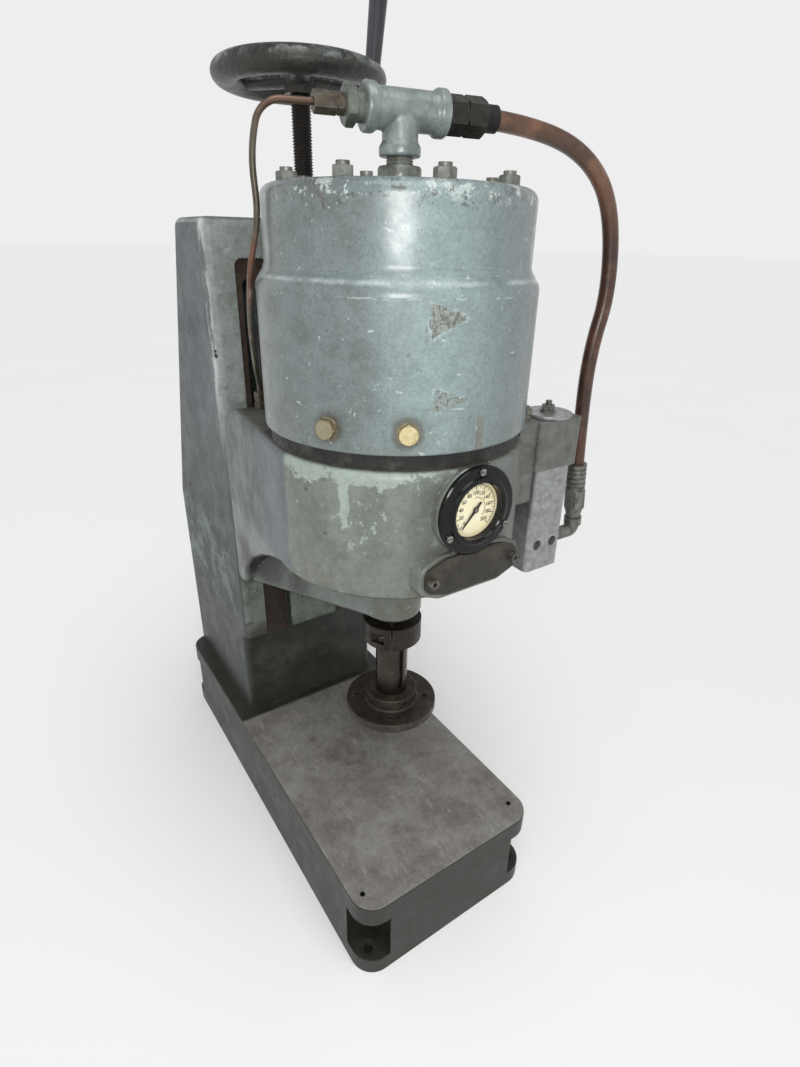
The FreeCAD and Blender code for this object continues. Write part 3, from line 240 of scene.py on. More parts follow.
    def done(self, col, rough, metal=0.0, coat=0.0, spec=0.5, coat_rough=0.15):
        self.put(self.b.inputs["Base Color"], col)
        self.put(self.b.inputs["Roughness"], rough)
        self.put(self.b.inputs["Metallic"], metal)
        self.b.inputs["Coat Weight"].default_value = coat
        self.b.inputs["Coat Roughness"].default_value = coat_rough
        self.b.inputs["Specular IOR Level"].default_value = spec
        return self.m


def chips_mask(k, scale, thr, breadth=0.02, off=(0, 0, 0)):
    """Sharp-edged flakes from layered noise."""
    a = k.noise(scale, 8, 0.62, off=off, dist=0.3)
    b = k.noise(scale * 4.3, 4, 0.6, off=(off[0] + 3, off[1], off[2]))
    h = k.plus(k.mul(a, 0.75), k.mul(b, 0.25))
    return k.step(h, thr, thr + breadth)


def specks(k, scale, size, gate_scale, gate, off=(0, 0, 0)):
    """Small ragged dirt pits of mixed size, thicker in some places than in others."""
    p = k.vmath("ADD", k.P, off)
    d = k.plus(k.voro(scale, p), k.mul(k.noise(scale * 0.9, 3, 0.6, vec=p), size * 2.4))
    v = k.step(d, size * 1.75, size * 1.30)
    return k.mul(v, k.step(k.noise(gate_scale, 4, 0.6, off=(off[1] + 1, 2, off[0])), gate, gate + 0.14))


def mottle(k, col, amt, scale=210, off=(0, 0, 0)):
    """Light and dark grain of old enamel, fine and coarse."""
    g = k.plus(k.mul(k.noise(scale, 6, 0.74, off=off), 0.62), k.mul(k.noise(scale * 0.22, 7, 0.72, off=(off[1] + 6, off[0], off[2])), 0.38))
    f = k.fmix(k.step(g, 0.36, 0.64), 1.0 - amt * 1.25, 1.0 + amt * 0.7)
    n = k.t.nodes.new("ShaderNodeCombineColor")
    for i in range(3):
        k.put(n.inputs[i], f)
    return k.shade(col, n.outputs[0])


def cast_bump(k, amount, soft=0.0015):
    h = k.plus(k.mul(k.noise(62, 3, 0.5), 1.0), k.mul(k.noise(420, 3, 0.6), 0.30))
    k.bump(h, amount, 0.0012, soft)


def frame_paint(name):
    """Grey enamel of the column and base: lilac-grey sides, greener front, dark and oily towards the floor, that
    darkness partly painted shade.
    """
    k = Mat(name)
    lilac = lin((PF[0], PF[1], PF[2]))
    grey = lin((PG[0], PG[1], PG[2]))
    iron = lin((46, 43, 38))
    brown = lin((82, 68, 54))
    pale = lin((158, 168, 162))
    n1 = k.noise(7, 5, 0.6)
    n2 = k.noise(30, 7, 0.68, off=(5, 1, 2))
    n3 = k.noise(95, 6, 0.7, off=(1, 9, 2))
    side = k.step(k.nx, -0.90, -0.97)
    front = k.step(k.ny, -0.35, -0.75)
    col = k.mix(k.step(n1, 0.36, 0.66), lilac, lin((PF[0] - 16, PF[1] - 15, PF[2] - 16)))
    fc = k.mix(k.step(n2, 0.38, 0.68), grey, lin((PG[0] - 24, PG[1] - 22, PG[2] - 26)))
    fc = k.mix(k.mul(k.step(n3, 0.53, 0.69), 0.5), fc, lin((92, 96, 90)))
    fc = k.mix(k.mul(k.step(n3, 0.44, 0.34), 0.45), fc, lin((176, 182, 178)))
    col = k.mix(k.inv(side), col, fc)
    # long stains down the sides
    run = k.step(k.noise(26, 6, 0.62, k.stretch(1, 1, 0.10), off=(1, 7, 3)), 0.46, 0.70)
    col = k.mix(k.mul(run, 0.38), col, lin((90, 96, 92)))
    # worn band where the side turns into the front
    turn = k.mul(k.band(k.y, 0.047, 0.082, 0.010), k.mul(k.step(k.z, 0.13, 0.16), k.step(k.nx, 0.2, -0.2)))
    tn = k.step(k.noise(46, 7, 0.7, k.stretch(1, 1, 0.4), off=(4, 4, 0)), 0.44, 0.60)
    col = k.mix(k.mul(k.mul(turn, tn), 0.50), col, lin((122, 127, 125)))
    # bright line on the rounded corner: worn paint, and a painted highlight where the corner catches the light
    corner_wear_highlight = k.mul(k.mul(k.band(k.y, 0.051, 0.063, 0.003), k.step(k.z, 0.46, 0.60)), k.step(k.noise(60, 6, 0.7, k.stretch(1, 1, 0.5), off=(0, 3, 3)), 0.42, 0.56))
    col = k.mix(k.mul(k.mul(corner_wear_highlight, k.step(k.nx, -0.3, -0.7)), 0.90), col, lin((198, 203, 203)))
    # greener, darker paint low on the column, darkened further as painted shade towards the floor
    low = k.step(k.z, 0.58, 0.30)
    col = k.mix(k.mul(low, 0.88), col, lin((44, 51, 46)))
    # oily stains high on the sides
    hi = k.mul(k.step(k.z, 0.545, 0.66), k.step(k.noise(20, 7, 0.68, k.stretch(1, 1, 0.35), off=(6, 2, 2)), 0.46, 0.60))
    col = k.mix(k.mul(k.mul(hi, side), 0.70), col, lin((62, 63, 62)))
    gp = k.mul(k.mul(k.band(k.z, 0.262, 0.372, 0.02), k.band(k.y, 0.075, 0.275, 0.012)), k.step(k.plus(k.mul(n2, 0.6), k.mul(n3, 0.4)), 0.52, 0.44))
    col = k.mix(k.mul(k.mul(gp, side), 0.75), col, lin((88, 108, 96)))
    # one deep pit on the corner
    pit = k.near((-0.0955, 0.0515, 0.5905), 0.0020, 0.0034, 0.0018, 300)
    pit = k.mx(pit, k.near((-0.0955, 0.0515, 0.5950), 0.0014, 0.0026, 0.0018, 300))
    # base block: dark paint, made darker still as painted shade near the floor
    basem = k.step(k.z, 0.1065, 0.1045)
    bc = k.mix(k.step(n2, 0.36, 0.66), lin((33, 33, 28)), lin((45, 48, 41)))
    bc = k.mix(k.mul(k.step(n3, 0.56, 0.72), 0.5), bc, lin((66, 70, 61)))
    col = k.mix(k.mul(basem, 0.92), col, bc)
    # painted shade on the recessed face of the column behind the bed
    deep = k.mul(k.mul(front, k.step(k.y, 0.0575, 0.0595)), k.step(k.z, 0.240, 0.226))
    dc = k.mix(k.step(n2, 0.40, 0.66), lin((40, 41, 36)), lin((58, 62, 56)))
    col = k.mix(k.mul(deep, 0.92), col, dc)
    # rails: an older, paler green
    rail = k.mul(k.mul(front, k.step(k.y, 0.0535, 0.0505)), k.band(k.z, 0.222, 0.700, 0.004))
    rc = k.mix(k.step(n2, 0.42, 0.64), lin((108, 116, 108)), lin((82, 87, 80)))
    rc = k.mix(k.mul(k.mul(k.step(k.z, 0.262, 0.238), k.step(k.x, -0.060, -0.070)), 0.8), rc, lin((56, 48, 41)))
    rc = k.mix(k.step(k.noise(70, 7, 0.72, off=(2, 2, 9)), 0.58, 0.61), rc, lin((60, 57, 50)))
    col = k.mix(k.mul(k.mul(rail, k.step(k.z, 0.36, 0.34)), 0.85), col, rc)
    # rusty floors of the two grooves
    gx = k.math("ABSOLUTE", k.x)
    groove = k.mul(k.mul(k.band(gx, 0.0335, 0.068, 0.0006), k.band(k.y, 0.047, 0.062, 0.0008)), k.band(k.z, 0.224, 0.6835, 0.001))
    rust = k.mix(k.step(n3, 0.36, 0.68), lin((82, 66, 56)), lin((60, 49, 42)))
    rust = k.mix(k.step(k.z, 0.45, 0.36), rust, k.mix(k.step(n3, 0.36, 0.68), lin((58, 46, 38)), lin((42, 35, 30))))
    col = k.mix(groove, col, rust)
    # bare bed
    bed = k.mul(k.step(k.nz, 0.6, 0.9), k.mul(k.band(k.z, 0.1025, 0.1055, 0.0004), k.step(k.y, 0.050, 0.044)))
    bedcol = k.mix(k.step(k.noise(24, 8, 0.7, off=(4, 4, 0)), 0.32, 0.68), lin((130, 128, 124)), lin((102, 98, 93)))
    bedcol = k.mix(k.mul(k.step(k.noise(150, 4, 0.7, k.stretch(1, 0.22, 1)), 0.54, 0.74), 0.55), bedcol, lin((152, 150, 145)))
    bedcol = k.mix(k.mul(k.step(k.noise(11, 5, 0.62, off=(1, 8, 0)), 0.54, 0.68), 0.55), bedcol, lin((84, 74, 63)))
    bedcol = k.mix(k.mul(specks(k, 150, 0.24, 30, 0.46), 0.7), bedcol, lin((52, 44, 38)))
    col = k.mix(bed, col, bedcol)
    bare = k.mx(groove, bed)
    # painted shade at the foot of the column, in its corner with the bed, and the top edge that hands polish
    foot = k.mul(k.band(k.z, 0.104, 0.135, 0.008), k.inv(bed))
    col = k.mix(k.mul(foot, 0.55), col, lin((48, 46, 40)))
    topm = k.mul(k.step(k.nz, 0.55, 0.9), k.step(k.z, 0.64, 0.66))
    col = k.mix(k.mul(topm, 0.7), col, k.mix(k.step(n2, 0.4, 0.65), lin((90, 94, 95)), lin((58, 60, 58))))
    ch = k.mul(chips_mask(k, 38, 0.635, 0.010, (0, 4, 1)), k.inv(bare))
    col = k.mix(k.mul(ch, 0.85), col, k.mix(k.noise(90, 3), iron, lin((70, 66, 58))))
    nick = k.mul(k.mul(k.step(k.noise(170, 3, 0.6, k.stretch(1, 1, 0.6), off=(2, 2, 2)), 0.690, 0.705), k.inv(bare)), k.step(k.z, 0.20, 0.26))
    col = k.mix(k.mul(nick, 0.5), col, pale)
    sp = specks(k, 240, 0.20, 22, 0.42)
    col = k.mix(k.mul(k.mul(sp, k.inv(bare)), 0.75), col, iron)
    col = mottle(k, col, 0.13)
    # worn edges: bare iron and pale rubbed paint, the pale edges also serving as painted glints
    ed = k.edge(0.0032)
    wear = k.mul(ed, k.step(k.noise(70, 6, 0.7, off=(6, 6, 6)), 0.46, 0.60))
    col = k.mix(k.mul(k.mul(wear, k.inv(bare)), 0.6), col, k.mix(k.step(k.noise(120, 3), 0.4, 0.6), iron, k.mix(basem, pale, lin((92, 96, 86)))))
    col = k.mix(pit, col, lin((28, 28, 26)))
    rough = k.fmix(k.step(n2, 0.3, 0.7), 0.40, 0.58)
    rough = k.fmix(k.mx(ch, bare), rough, 0.68)
    cast_bump(k, 0.32)
    return k.done(col, rough, 0.0, 0.06, 0.34, 0.3)


def head_paint(name):
    """Head casting: lilac-grey flanks, olive-grey drum, pale paint at the lip, dark oily deck, and dark scoops and
    undersides that are partly stain and partly painted shade.
    """
    k = Mat(name)
    iron = lin((46, 42, 36))
    pale = lin((152, 164, 154))
    n2 = k.noise(30, 7, 0.68, off=(5, 1, 2))
    n3 = k.noise(95, 6, 0.7, off=(1, 9, 2))
    n4 = k.noise(44, 7, 0.66, off=(7, 3, 1), dist=0.4)
    gx = k.math("ABSOLUTE", k.x)
    lil = k.mix(k.step(k.noise(9, 5, 0.6), 0.36, 0.66), lin((PH[0], PH[1], PH[2])), lin((PH[0] - 15, PH[1] - 14, PH[2] - 15)))
    ol = k.mix(k.step(n2, 0.36, 0.66), lin((PD[0], PD[1], PD[2])), lin((PD[0] - 16, PD[1] - 16, PD[2] - 17)))
    ol = k.mix(k.mul(k.step(n3, 0.50, 0.70), 0.40), ol, lin((94, 94, 80)))
    yb = k.plus(k.y, k.mul(k.plus(n4, -0.5), 0.016))
    drum = k.step(yb, -0.150, -0.158)
    web = k.step(k.z, 0.4345, 0.4300)
    # the flank: a lilac field next to the drum, greener and dirtier towards the column
    yf = k.plus(k.y, k.mul(k.plus(k.noise(70, 7, 0.74, off=(8, 2, 2)), -0.5), 0.026))
    rear = k.step(yf, -0.0790, -0.0760)
    lil = k.mix(k.mul(rear, 0.90), lil, k.mix(k.step(n2, 0.38, 0.62), lin((84, 92, 88)), lin((64, 70, 66))))
    col = k.mix(k.mx(drum, k.mul(web, 0.85)), lil, ol)
    # bluer, cleaner paint on the front right of the drum
    right = k.mul(k.step(k.x, -0.060, -0.020), k.step(k.z, 0.46, 0.50))
    col = k.mix(k.mul(right, 0.40), col, lin((PD[0] - 2, PD[1] + 4, PD[2] + 8)))
    # pale paint along the lip and one long run of it at the left
    hh = k.mul(k.near((-0.1110, -0.1750, 0.540), 0.006, 0.030), 0.014)
    hh = k.plus(hh, k.mul(k.near((-0.0755, -0.2330, 0.545), 0.010, 0.050), 0.007))
    xr = k.plus(k.x, k.mul(k.plus(k.noise(90, 5, 0.7, off=(2, 2, 8)), -0.5), 0.0070))
    hh = k.plus(hh, k.mul(k.step(k.math("ABSOLUTE", k.plus(xr, 0.0930)), 0.0036, 0.0010), 0.044))
    lipz = k.plus(k.plus(k.z, hh), k.mul(k.plus(n4, -0.5), 0.044))
    lipz = k.plus(lipz, k.mul(k.plus(k.noise(150, 7, 0.78, off=(3, 1, 8)), -0.5), 0.040))
    lipm = k.mul(k.mul(k.step(lipz, 0.5415, 0.5425), k.step(k.x, 0.000, -0.020)), k.step(k.z, 0.470, 0.490))
    lipm = k.mul(lipm, drum)
    col = k.mix(k.mul(lipm, 0.80), col, pale)
    dots = k.mul(k.near((-0.0850, -0.2240, 0.500), 0.012, 0.042), k.step(k.noise(150, 5, 0.65, off=(2, 8, 3)), 0.585, 0.60))
    col = k.mix(k.mul(dots, 0.8), col, pale)
    # dirt under the ring and round the gauge pad
    under = k.mul(k.step(k.z, 0.5385, 0.5455), k.step(k.nz, 0.5, 0.2))
    col = k.mix(k.mul(k.mul(under, k.step(n3, 0.42, 0.62)), 0.35), col, lin((88, 88, 78)))
    gy = k.mul(k.near((0.0, -0.262, 0.500), 0.042, 0.064, 0.014, 60), k.step(n2, 0.28, 0.52))
    col = k.mix(k.mul(gy, 0.70), col, lin((74, 74, 64)))
    # brown grime low on the drum and below the plate
    lowm = k.mul(k.step(k.z, 0.490, 0.428), k.step(k.noise(30, 7, 0.7, k.stretch(1, 1, 0.35)), 0.34, 0.62))
    col = k.mix(k.mul(k.mul(lowm, drum), 0.62), col, lin((92, 88, 72)))
    # painted shade: the right side of the drum, turning away from the light, is painted darker
    drum_right_shade = k.step(k.plus(k.x, k.mul(k.plus(n4, -0.5), 0.03)), 0.026, 0.052)
    col = k.mix(k.mul(drum_right_shade, 0.78), col, lin((74, 74, 68)))
    # painted shade: undersides and the two scoops are painted dark; the scoops also carry a dark stain
    underside_shade = k.step(k.nz, -0.30, -0.80)
    col = k.mix(k.mul(underside_shade, 0.85), col, lin((46, 44, 39)))
    for sx in (-1, 1):
        scoop_stain_and_shade = k.near((sx * 0.0870, -0.0040, 0.3700), 0.018, 0.050, 0.022, 60)
        col = k.mix(k.mul(scoop_stain_and_shade, 0.88), col, k.mix(k.step(n2, 0.40, 0.62), lin((26, 24, 25)), lin((42, 34, 34))))
        scoop_stain_and_shade = k.mul(k.near((sx * 0.0700, -0.0500, 0.3600), 0.006, 0.040, 0.016, 60), k.step(n2, 0.34, 0.56))
        col = k.mix(k.mul(scoop_stain_and_shade, 0.75), col, lin((48, 46, 44)))
    # oily deck
    deck = k.mul(k.step(k.nz, 0.7, 0.95), k.step(k.z, 0.538, 0.545))
    dc = k.mix(k.step(n2, 0.38, 0.64), lin((58, 56, 48)), lin((92, 94, 86)))
    col = k.mix(k.mul(deck, 0.85), col, dc)
    ch = chips_mask(k, 42, 0.640, 0.010, (2, 0, 6))
    col = k.mix(k.mul(ch, 0.8), col, k.mix(k.noise(90, 3), iron, lin((74, 68, 58))))
    nick = k.step(k.noise(150, 3, 0.6, off=(2, 5, 2)), 0.690, 0.705)
    col = k.mix(k.mul(nick, 0.55), col, pale)
    col = k.mix(k.mul(specks(k, 250, 0.20, 22, 0.38, (3, 0, 1)), 0.75), col, iron)
    col = mottle(k, col, 0.13, 190, (3, 3, 3))
    # worn edges: bare iron and pale rubbed paint, the pale edges also serving as painted glints
    ed = k.edge(0.0032)
    wear = k.mul(ed, k.step(k.noise(70, 6, 0.7, off=(6, 1, 6)), 0.46, 0.60))
    col = k.mix(k.mul(wear, 0.65), col, k.mix(k.step(k.noise(120, 3), 0.42, 0.62), iron, pale))
    rough = k.fmix(k.step(n2, 0.3, 0.7), 0.34, 0.50)
    rough = k.fmix(k.mx(ch, k.mul(deck, 0.6)), rough, 0.62)
    cast_bump(k, 0.30)
    return k.done(col, rough, 0.0, 0.10, 0.38, 0.3)


def plain_paint(name):
    k = Mat(name)
    n2 = k.noise(30, 7, 0.68, off=(5, 1, 2))
    col = k.mix(k.step(n2, 0.36, 0.66), lin((112, 120, 118)), lin((92, 98, 94)))
    col = k.mix(k.mul(chips_mask(k, 46, 0.60, 0.010, (2, 0, 6)), 0.8), col, lin((52, 46, 40)))
    col = k.mix(k.mul(specks(k, 240, 0.2, 22, 0.42), 0.7), col, lin((46, 42, 36)))
    col = mottle(k, col, 0.13)
    ed = k.mul(k.edge(0.0028), k.step(k.noise(80, 6, 0.7, off=(6, 1, 6)), 0.42, 0.58))
    col = k.mix(k.mul(ed, 0.7), col, lin((62, 56, 48)))
    cast_bump(k, 0.30)
    return k.done(col, k.fmix(k.step(n2, 0.3, 0.7), 0.38, 0.54), 0.0, 0.06, 0.38, 0.3)


def cylinder_paint(name):
    """Glossy blue-grey enamel of the bell over turned rings, pitted and scuffed."""
    k = Mat(name)
    iron = lin((50, 46, 40))
    pale = lin((188, 200, 198))
    n1 = k.noise(7, 5, 0.6)
    n2 = k.noise(34, 7, 0.68, off=(5, 1, 2))
    n3 = k.noise(110, 6, 0.7, off=(1, 9, 2))
    col = k.mix(k.step(n1, 0.35, 0.68), lin((PC[0], PC[1], PC[2])), lin((PC[0] + 9, PC[1] + 9, PC[2] + 9)))
    col = k.mix(k.mul(k.step(n2, 0.44, 0.70), 0.55), col, lin((PC[0] - 22, PC[1] - 22, PC[2] - 24)))
    run = k.step(k.noise(34, 5, 0.6, k.stretch(1, 1, 0.10), off=(8, 1, 2)), 0.50, 0.70)
    col = k.mix(k.mul(run, 0.28), col, lin((106, 112, 106)))
    # darker, duller and browner towards the left: painted shade on the side turning from the light, plus a sharp-edged
    # band of duller paint low on the front left
    left = k.mx(k.mul(k.step(k.x, -0.045, -0.095), 0.92), k.mul(k.mul(k.step(k.plus(k.x, k.mul(k.plus(n3, -0.5), 0.0012)), -0.0880, -0.0900), k.step(k.y, -0.14, -0.16)), k.mul(k.step(k.z, 0.645, 0.615), 0.75)))
    col = k.mix(k.mul(left, 0.80), col, k.mix(k.step(n2, 0.4, 0.66), lin((92, 100, 99)), lin((74, 79, 76))))
    foot = k.mul(k.step(k.z, 0.605, 0.560), k.step(k.noise(28, 7, 0.7, off=(2, 5, 5)), 0.36, 0.64))
    col = k.mix(k.mul(foot, 0.42), col, lin((102, 106, 98)))
    # painted shade: the right half of the bell, turning away from the light, is painted darker
    bell_right_shade = k.mul(k.step(k.x, -0.050, 0.050), 0.80)
    col = k.mix(bell_right_shade, col, lin((90, 99, 100)))
    # worn light line on the shoulder, a pale line on its lower edge that is partly painted highlight, and wear along
    # the top rim
    zw = k.plus(k.z, k.mul(k.plus(k.noise(90, 6, 0.7, off=(4, 1, 3)), -0.5), 0.0030))
    shoulder_wear_and_highlight = k.mul(k.band(zw, 0.6758, 0.6784, 0.0014), k.step(k.noise(34, 5, 0.65, off=(4, 4, 3)), 0.30, 0.56))
    col = k.mix(k.mul(shoulder_wear_and_highlight, 0.46), col, pale)
    # pale line on the convex lower edge of the shoulder: worn paint and a painted highlight
    shoulder_wear_and_highlight = k.mul(k.band(zw, 0.6672, 0.6682, 0.0005), k.step(k.noise(60, 5, 0.65, off=(4, 9, 3)), 0.50, 0.58))
    col = k.mix(k.mul(shoulder_wear_and_highlight, 0.45), col, pale)
    shd = k.mul(k.band(zw, 0.6850, 0.6864, 0.0006), k.step(k.noise(30, 5, 0.65, off=(9, 4, 3)), 0.46, 0.58))
    col = k.mix(k.mul(shd, 0.30), col, lin((86, 92, 90)))
    rim = k.mul(k.band(k.z, 0.7270, 0.7398, 0.0030), chips_mask(k, 70, 0.545, 0.008, (3, 3, 3)))
    col = k.mix(k.mul(rim, 0.80), col, k.mix(k.noise(150, 4, 0.6), pale, lin((160, 170, 166))))
    rims = k.mul(k.band(k.z, 0.7225, 0.7410, 0.0030), chips_mask(k, 110, 0.565, 0.006, (5, 3, 8)))
    col = k.mix(k.mul(rims, 0.70), col, lin((76, 74, 64)))
    rimd = k.mul(k.step(k.z, 0.7375, 0.7400), k.step(n2, 0.36, 0.60))
    col = k.mix(k.mul(rimd, 0.45), col, lin((98, 102, 92)))
    # dark rings of dirt round the plugs
    for a in (210.6, 240.8, 338):
        ar = math.radians(a)
        c0 = (0.1156 * math.cos(ar), AX.y + 0.1156 * math.sin(ar), 0.5763)
        col = k.mix(k.mul(k.near(c0, 0.0100, 0.0145, 0.005), 0.55), col, lin((72, 66, 52)))
    # a run of rust-brown near the middle
    sx_ = k.plus(k.x, k.mul(k.plus(n3, -0.5), 0.004))
    st = k.mx(k.band(sx_, -0.0034, -0.0016, 0.0008), k.mul(k.band(sx_, -0.0010, 0.0030, 0.0014), 0.55))
    st = k.mul(st, k.band(k.plus(k.z, k.mul(n3, 0.008)), 0.5585, 0.5885, 0.002))
    st = k.mul(st, k.step(k.y, -0.20, -0.22))
    col = k.mix(k.mul(st, 0.75), col, lin((104, 88, 60)))
    # two scraped patches and their pale borders
    wx = k.plus(k.x, k.mul(k.plus(k.noise(190, 6, 0.75, off=(1, 9, 2)), -0.5), 0.0100))
    wz = k.plus(k.z, k.mul(k.plus(k.noise(180, 6, 0.75, off=(5, 5, 5)), -0.5), 0.0100))
    front = k.step(k.y, -0.20, -0.22)
    patch = None
    fringe = None
    for (xa, za, xb, zb, zc, thr) in ((-0.0435, 0.6650, -0.0180, 0.6560, 0.6420, 0.34), (-0.0400, 0.6080, -0.0110, 0.5995, 0.5905, 0.46)):
        s1 = (zb - za) / (xb - xa)
        s2 = (zb - zc) / (xb - xa)
        for grow, keep in ((0.0, 0), (0.0016, 1)):
            m = k.mul(k.step(wx, xa - grow - 0.0004, xa - grow + 0.0004), k.under(wz, za - s1 * xa + grow, wx, s1, 0.0004))
            m = k.mul(m, k.inv(k.under(wz, zc - s2 * xa - grow, wx, s2, 0.0004)))
            m = k.mul(k.mul(m, front), k.step(k.noise(210 if thr < 0.4 else 480, 5, 0.65, off=(7, 7, 7)), thr, thr + 0.06))
            if keep == 0:
                patch = m if patch is None else k.mx(patch, m)
            else:
                fringe = m if fringe is None else k.mx(fringe, m)
    col = k.mix(k.mul(k.mul(k.sub(fringe, patch), k.step(n3, 0.44, 0.56)), 0.35), col, pale)
    pc = k.mix(k.step(k.noise(420, 5, 0.74, k.stretch(1, 1, 0.6)), 0.42, 0.58), lin((134, 138, 128)), lin((74, 71, 62)))
    pc = k.mix(k.step(k.noise(220, 3, 0.6, off=(9, 9, 1)), 0.66, 0.69), pc, pale)
    col = k.mix(k.mul(patch, 0.78), col, pc)
    ch = chips_mask(k, 40, 0.665, 0.010, (1, 3, 2))
    col = k.mix(k.mul(ch, 0.7), col, lin((84, 80, 70)))
    sp = k.mx(k.mul(specks(k, 430, 0.30, 16, 0.38), 0.8), specks(k, 230, 0.20, 22, 0.44, (2, 2, 5)))
    sp = k.mx(sp, k.mul(specks(k, 620, 0.38, 26, 0.38, (1, 6, 5)), k.mul(k.step(k.x, 0.02, -0.06), 0.9)))
    col = k.mix(k.mul(sp, k.fmix(k.step(k.noise(120, 3, 0.5, off=(7, 7, 1)), 0.35, 0.65), 0.45, 0.85)), col, lin((54, 56, 52)))
    rag = k.mul(k.step(k.noise(230, 4, 0.62, off=(4, 8, 8)), 0.640, 0.655), k.step(k.noise(24, 4, 0.6, off=(1, 2, 8)), 0.44, 0.56))
    col = k.mix(k.mul(rag, 0.60), col, lin((84, 88, 84)))
    # thin level scratches
    hs = k.mul(k.step(k.noise(26, 5, 0.62, k.stretch(1, 1, 16.0), off=(5, 3, 2)), 0.660, 0.690), k.step(k.z, 0.600, 0.640))
    col = k.mix(k.mul(hs, 0.50), col, lin((80, 86, 84)))
    scr = k.step(k.noise(60, 3, 0.5, k.stretch(1, 1, 3.0), off=(0, 3, 9)), 0.715, 0.728)
    scr = k.mx(scr, k.step(k.noise(190, 4, 0.65, off=(3, 3, 9)), 0.672, 0.684))
    col = k.mix(k.mul(scr, 0.55), col, pale)
    dsc = k.step(k.noise(52, 3, 0.5, k.stretch(3.4, 3.4, 0.7), off=(6, 1, 9)), 0.735, 0.745)
    col = k.mix(k.mul(dsc, 0.6), col, iron)
    col = mottle(k, col, 0.17, 420, (1, 1, 6))
    ed = k.mul(k.edge(0.003), k.step(k.noise(90, 5, 0.7), 0.46, 0.60))
    col = k.mix(k.mul(ed, 0.5), col, lin((88, 86, 76)))
    rough = k.fmix(k.step(k.noise(60, 6, 0.70), 0.35, 0.65), 0.26, 0.48)
    rough = k.fmix(k.mul(k.step(k.z, 0.69, 0.66), 0.5), rough, 0.50)
    rough = k.fmix(k.mx(patch, ch), rough, 0.75)
    lines = k.noise(5, 4, 0.65, k.stretch(1, 1, 190))
    h = k.plus(k.plus(k.mul(k.noise(38, 2, 0.5), 1.0), k.mul(k.noise(260, 3, 0.6), 0.34)), k.mul(lines, 0.20))
    h = k.math("SUBTRACT", h, k.mul(k.mx(patch, sp), 0.12))
    k.bump(h, 0.24, 0.0012, 0.0012)
    return k.done(col, rough, 0.0, 0.55, 0.45, 0.24)


def metal(name, a, b, rough, metallic=0.85, grain=(1, 1, 1), spots=None, bumpy=0.1, wear=None, scale=60, spec=0.35):
    k = Mat(name)
    col = k.mix(k.step(k.noise(scale, 6, 0.65), 0.32, 0.7), lin(a), lin(b))
    if spots:
        col = k.mix(k.mul(k.step(k.noise(scale * 0.6, 7, 0.7, off=(4, 4, 4)), 0.5, 0.66), spots[1]), col, lin(spots[0]))
    col = mottle(k, col, 0.14, scale * 4)
    if wear:
        ed = k.mul(k.edge(0.0012), k.step(k.noise(160, 4, 0.6), 0.35, 0.55))
        col = k.mix(k.mul(ed, 0.8), col, lin(wear))
    g = k.noise(240, 4, 0.6, k.stretch(*grain))
    rg = k.fmix(k.step(g, 0.3, 0.7), max(rough - 0.09, 0.05), rough + 0.11)
    k.bump(k.plus(g, k.mul(k.noise(60, 4), 1.0)), bumpy, 0.0006, 0.0004)
    return k.done(col, rg, metallic, 0.0, spec)


PF = (92, 97, 101)
PG = (146, 151, 149)
PH = (90, 97, 101)
PD = (116, 123, 117)
PC = (125, 141, 142)
PLUG_DEG, PLUG_Z = (210.6, 240.8, 338), 0.5763

MATS = {}
MATS["frame"] = frame_paint("paint_frame")
MATS["head"] = head_paint("paint_head")
MATS["plain"] = plain_paint("paint_plain")
MATS["cyl"] = cylinder_paint("paint_cylinder")
MATS["fit"] = metal("painted_fitting", (136, 146, 145), (108, 117, 114), 0.30, 0.15, grain=(1, 1, 0.4), spots=((158, 166, 164), 0.5), bumpy=0.75, wear=(74, 70, 60), scale=90, spec=0.6)
MATS["fitworn"] = metal("painted_fitting_worn", (112, 118, 110), (78, 80, 72), 0.34, 0.2, spots=((146, 150, 142), 0.6), bumpy=0.7, wear=(60, 55, 46), scale=120, spec=0.5)
MATS["nut"] = metal("painted_nut", (118, 122, 116), (84, 86, 78), 0.44, 0.1, spots=((146, 150, 144), 0.6), bumpy=0.45, wear=(66, 60, 52), scale=130)
MATS["darkfit"] = metal("dark_fitting", (46, 48, 42), (34, 33, 29), 0.36, 0.3, spots=((74, 72, 62), 0.5), bumpy=0.3, wear=(92, 88, 76), scale=110)
MATS["ring"] = metal("ring_iron", (40, 40, 38), (29, 28, 26), 0.55, 0.1, spots=((74, 74, 68), 0.55), bumpy=0.5, wear=(90, 92, 86), scale=90)
MATS["platen"] = metal("platen_iron", (62, 54, 48), (44, 38, 33), 0.46, 0.35, spots=((88, 78, 68), 0.6), bumpy=0.4, wear=(108, 100, 90), scale=80)
MATS["dark"] = metal("dark_steel", (50, 45, 40), (36, 32, 28), 0.42, 0.5, spots=((76, 64, 54), 0.5), bumpy=0.25, wear=(110, 104, 94), scale=120)
MATS["screw"] = metal("screw_steel", (32, 29, 26), (22, 20, 18), 0.42, 0.3, spots=((48, 40, 33), 0.5), bumpy=0.2, scale=150, spec=0.3)
MATS["ramsteel"] = metal("ram_steel", (72, 66, 60), (44, 39, 35), 0.26, 0.9, grain=(1, 1, 6), spots=((54, 46, 40), 0.75), bumpy=0.06, scale=48)
MATS["grey"] = metal("grey_steel", (128, 128, 122), (88, 86, 80), 0.42, 0.55, spots=((150, 152, 146), 0.5), bumpy=0.3, wear=(64, 58, 50), scale=150)
MATS["bronze"] = metal("bronze", (150, 112, 64), (120, 88, 50), 0.35, 1.0, scale=90)
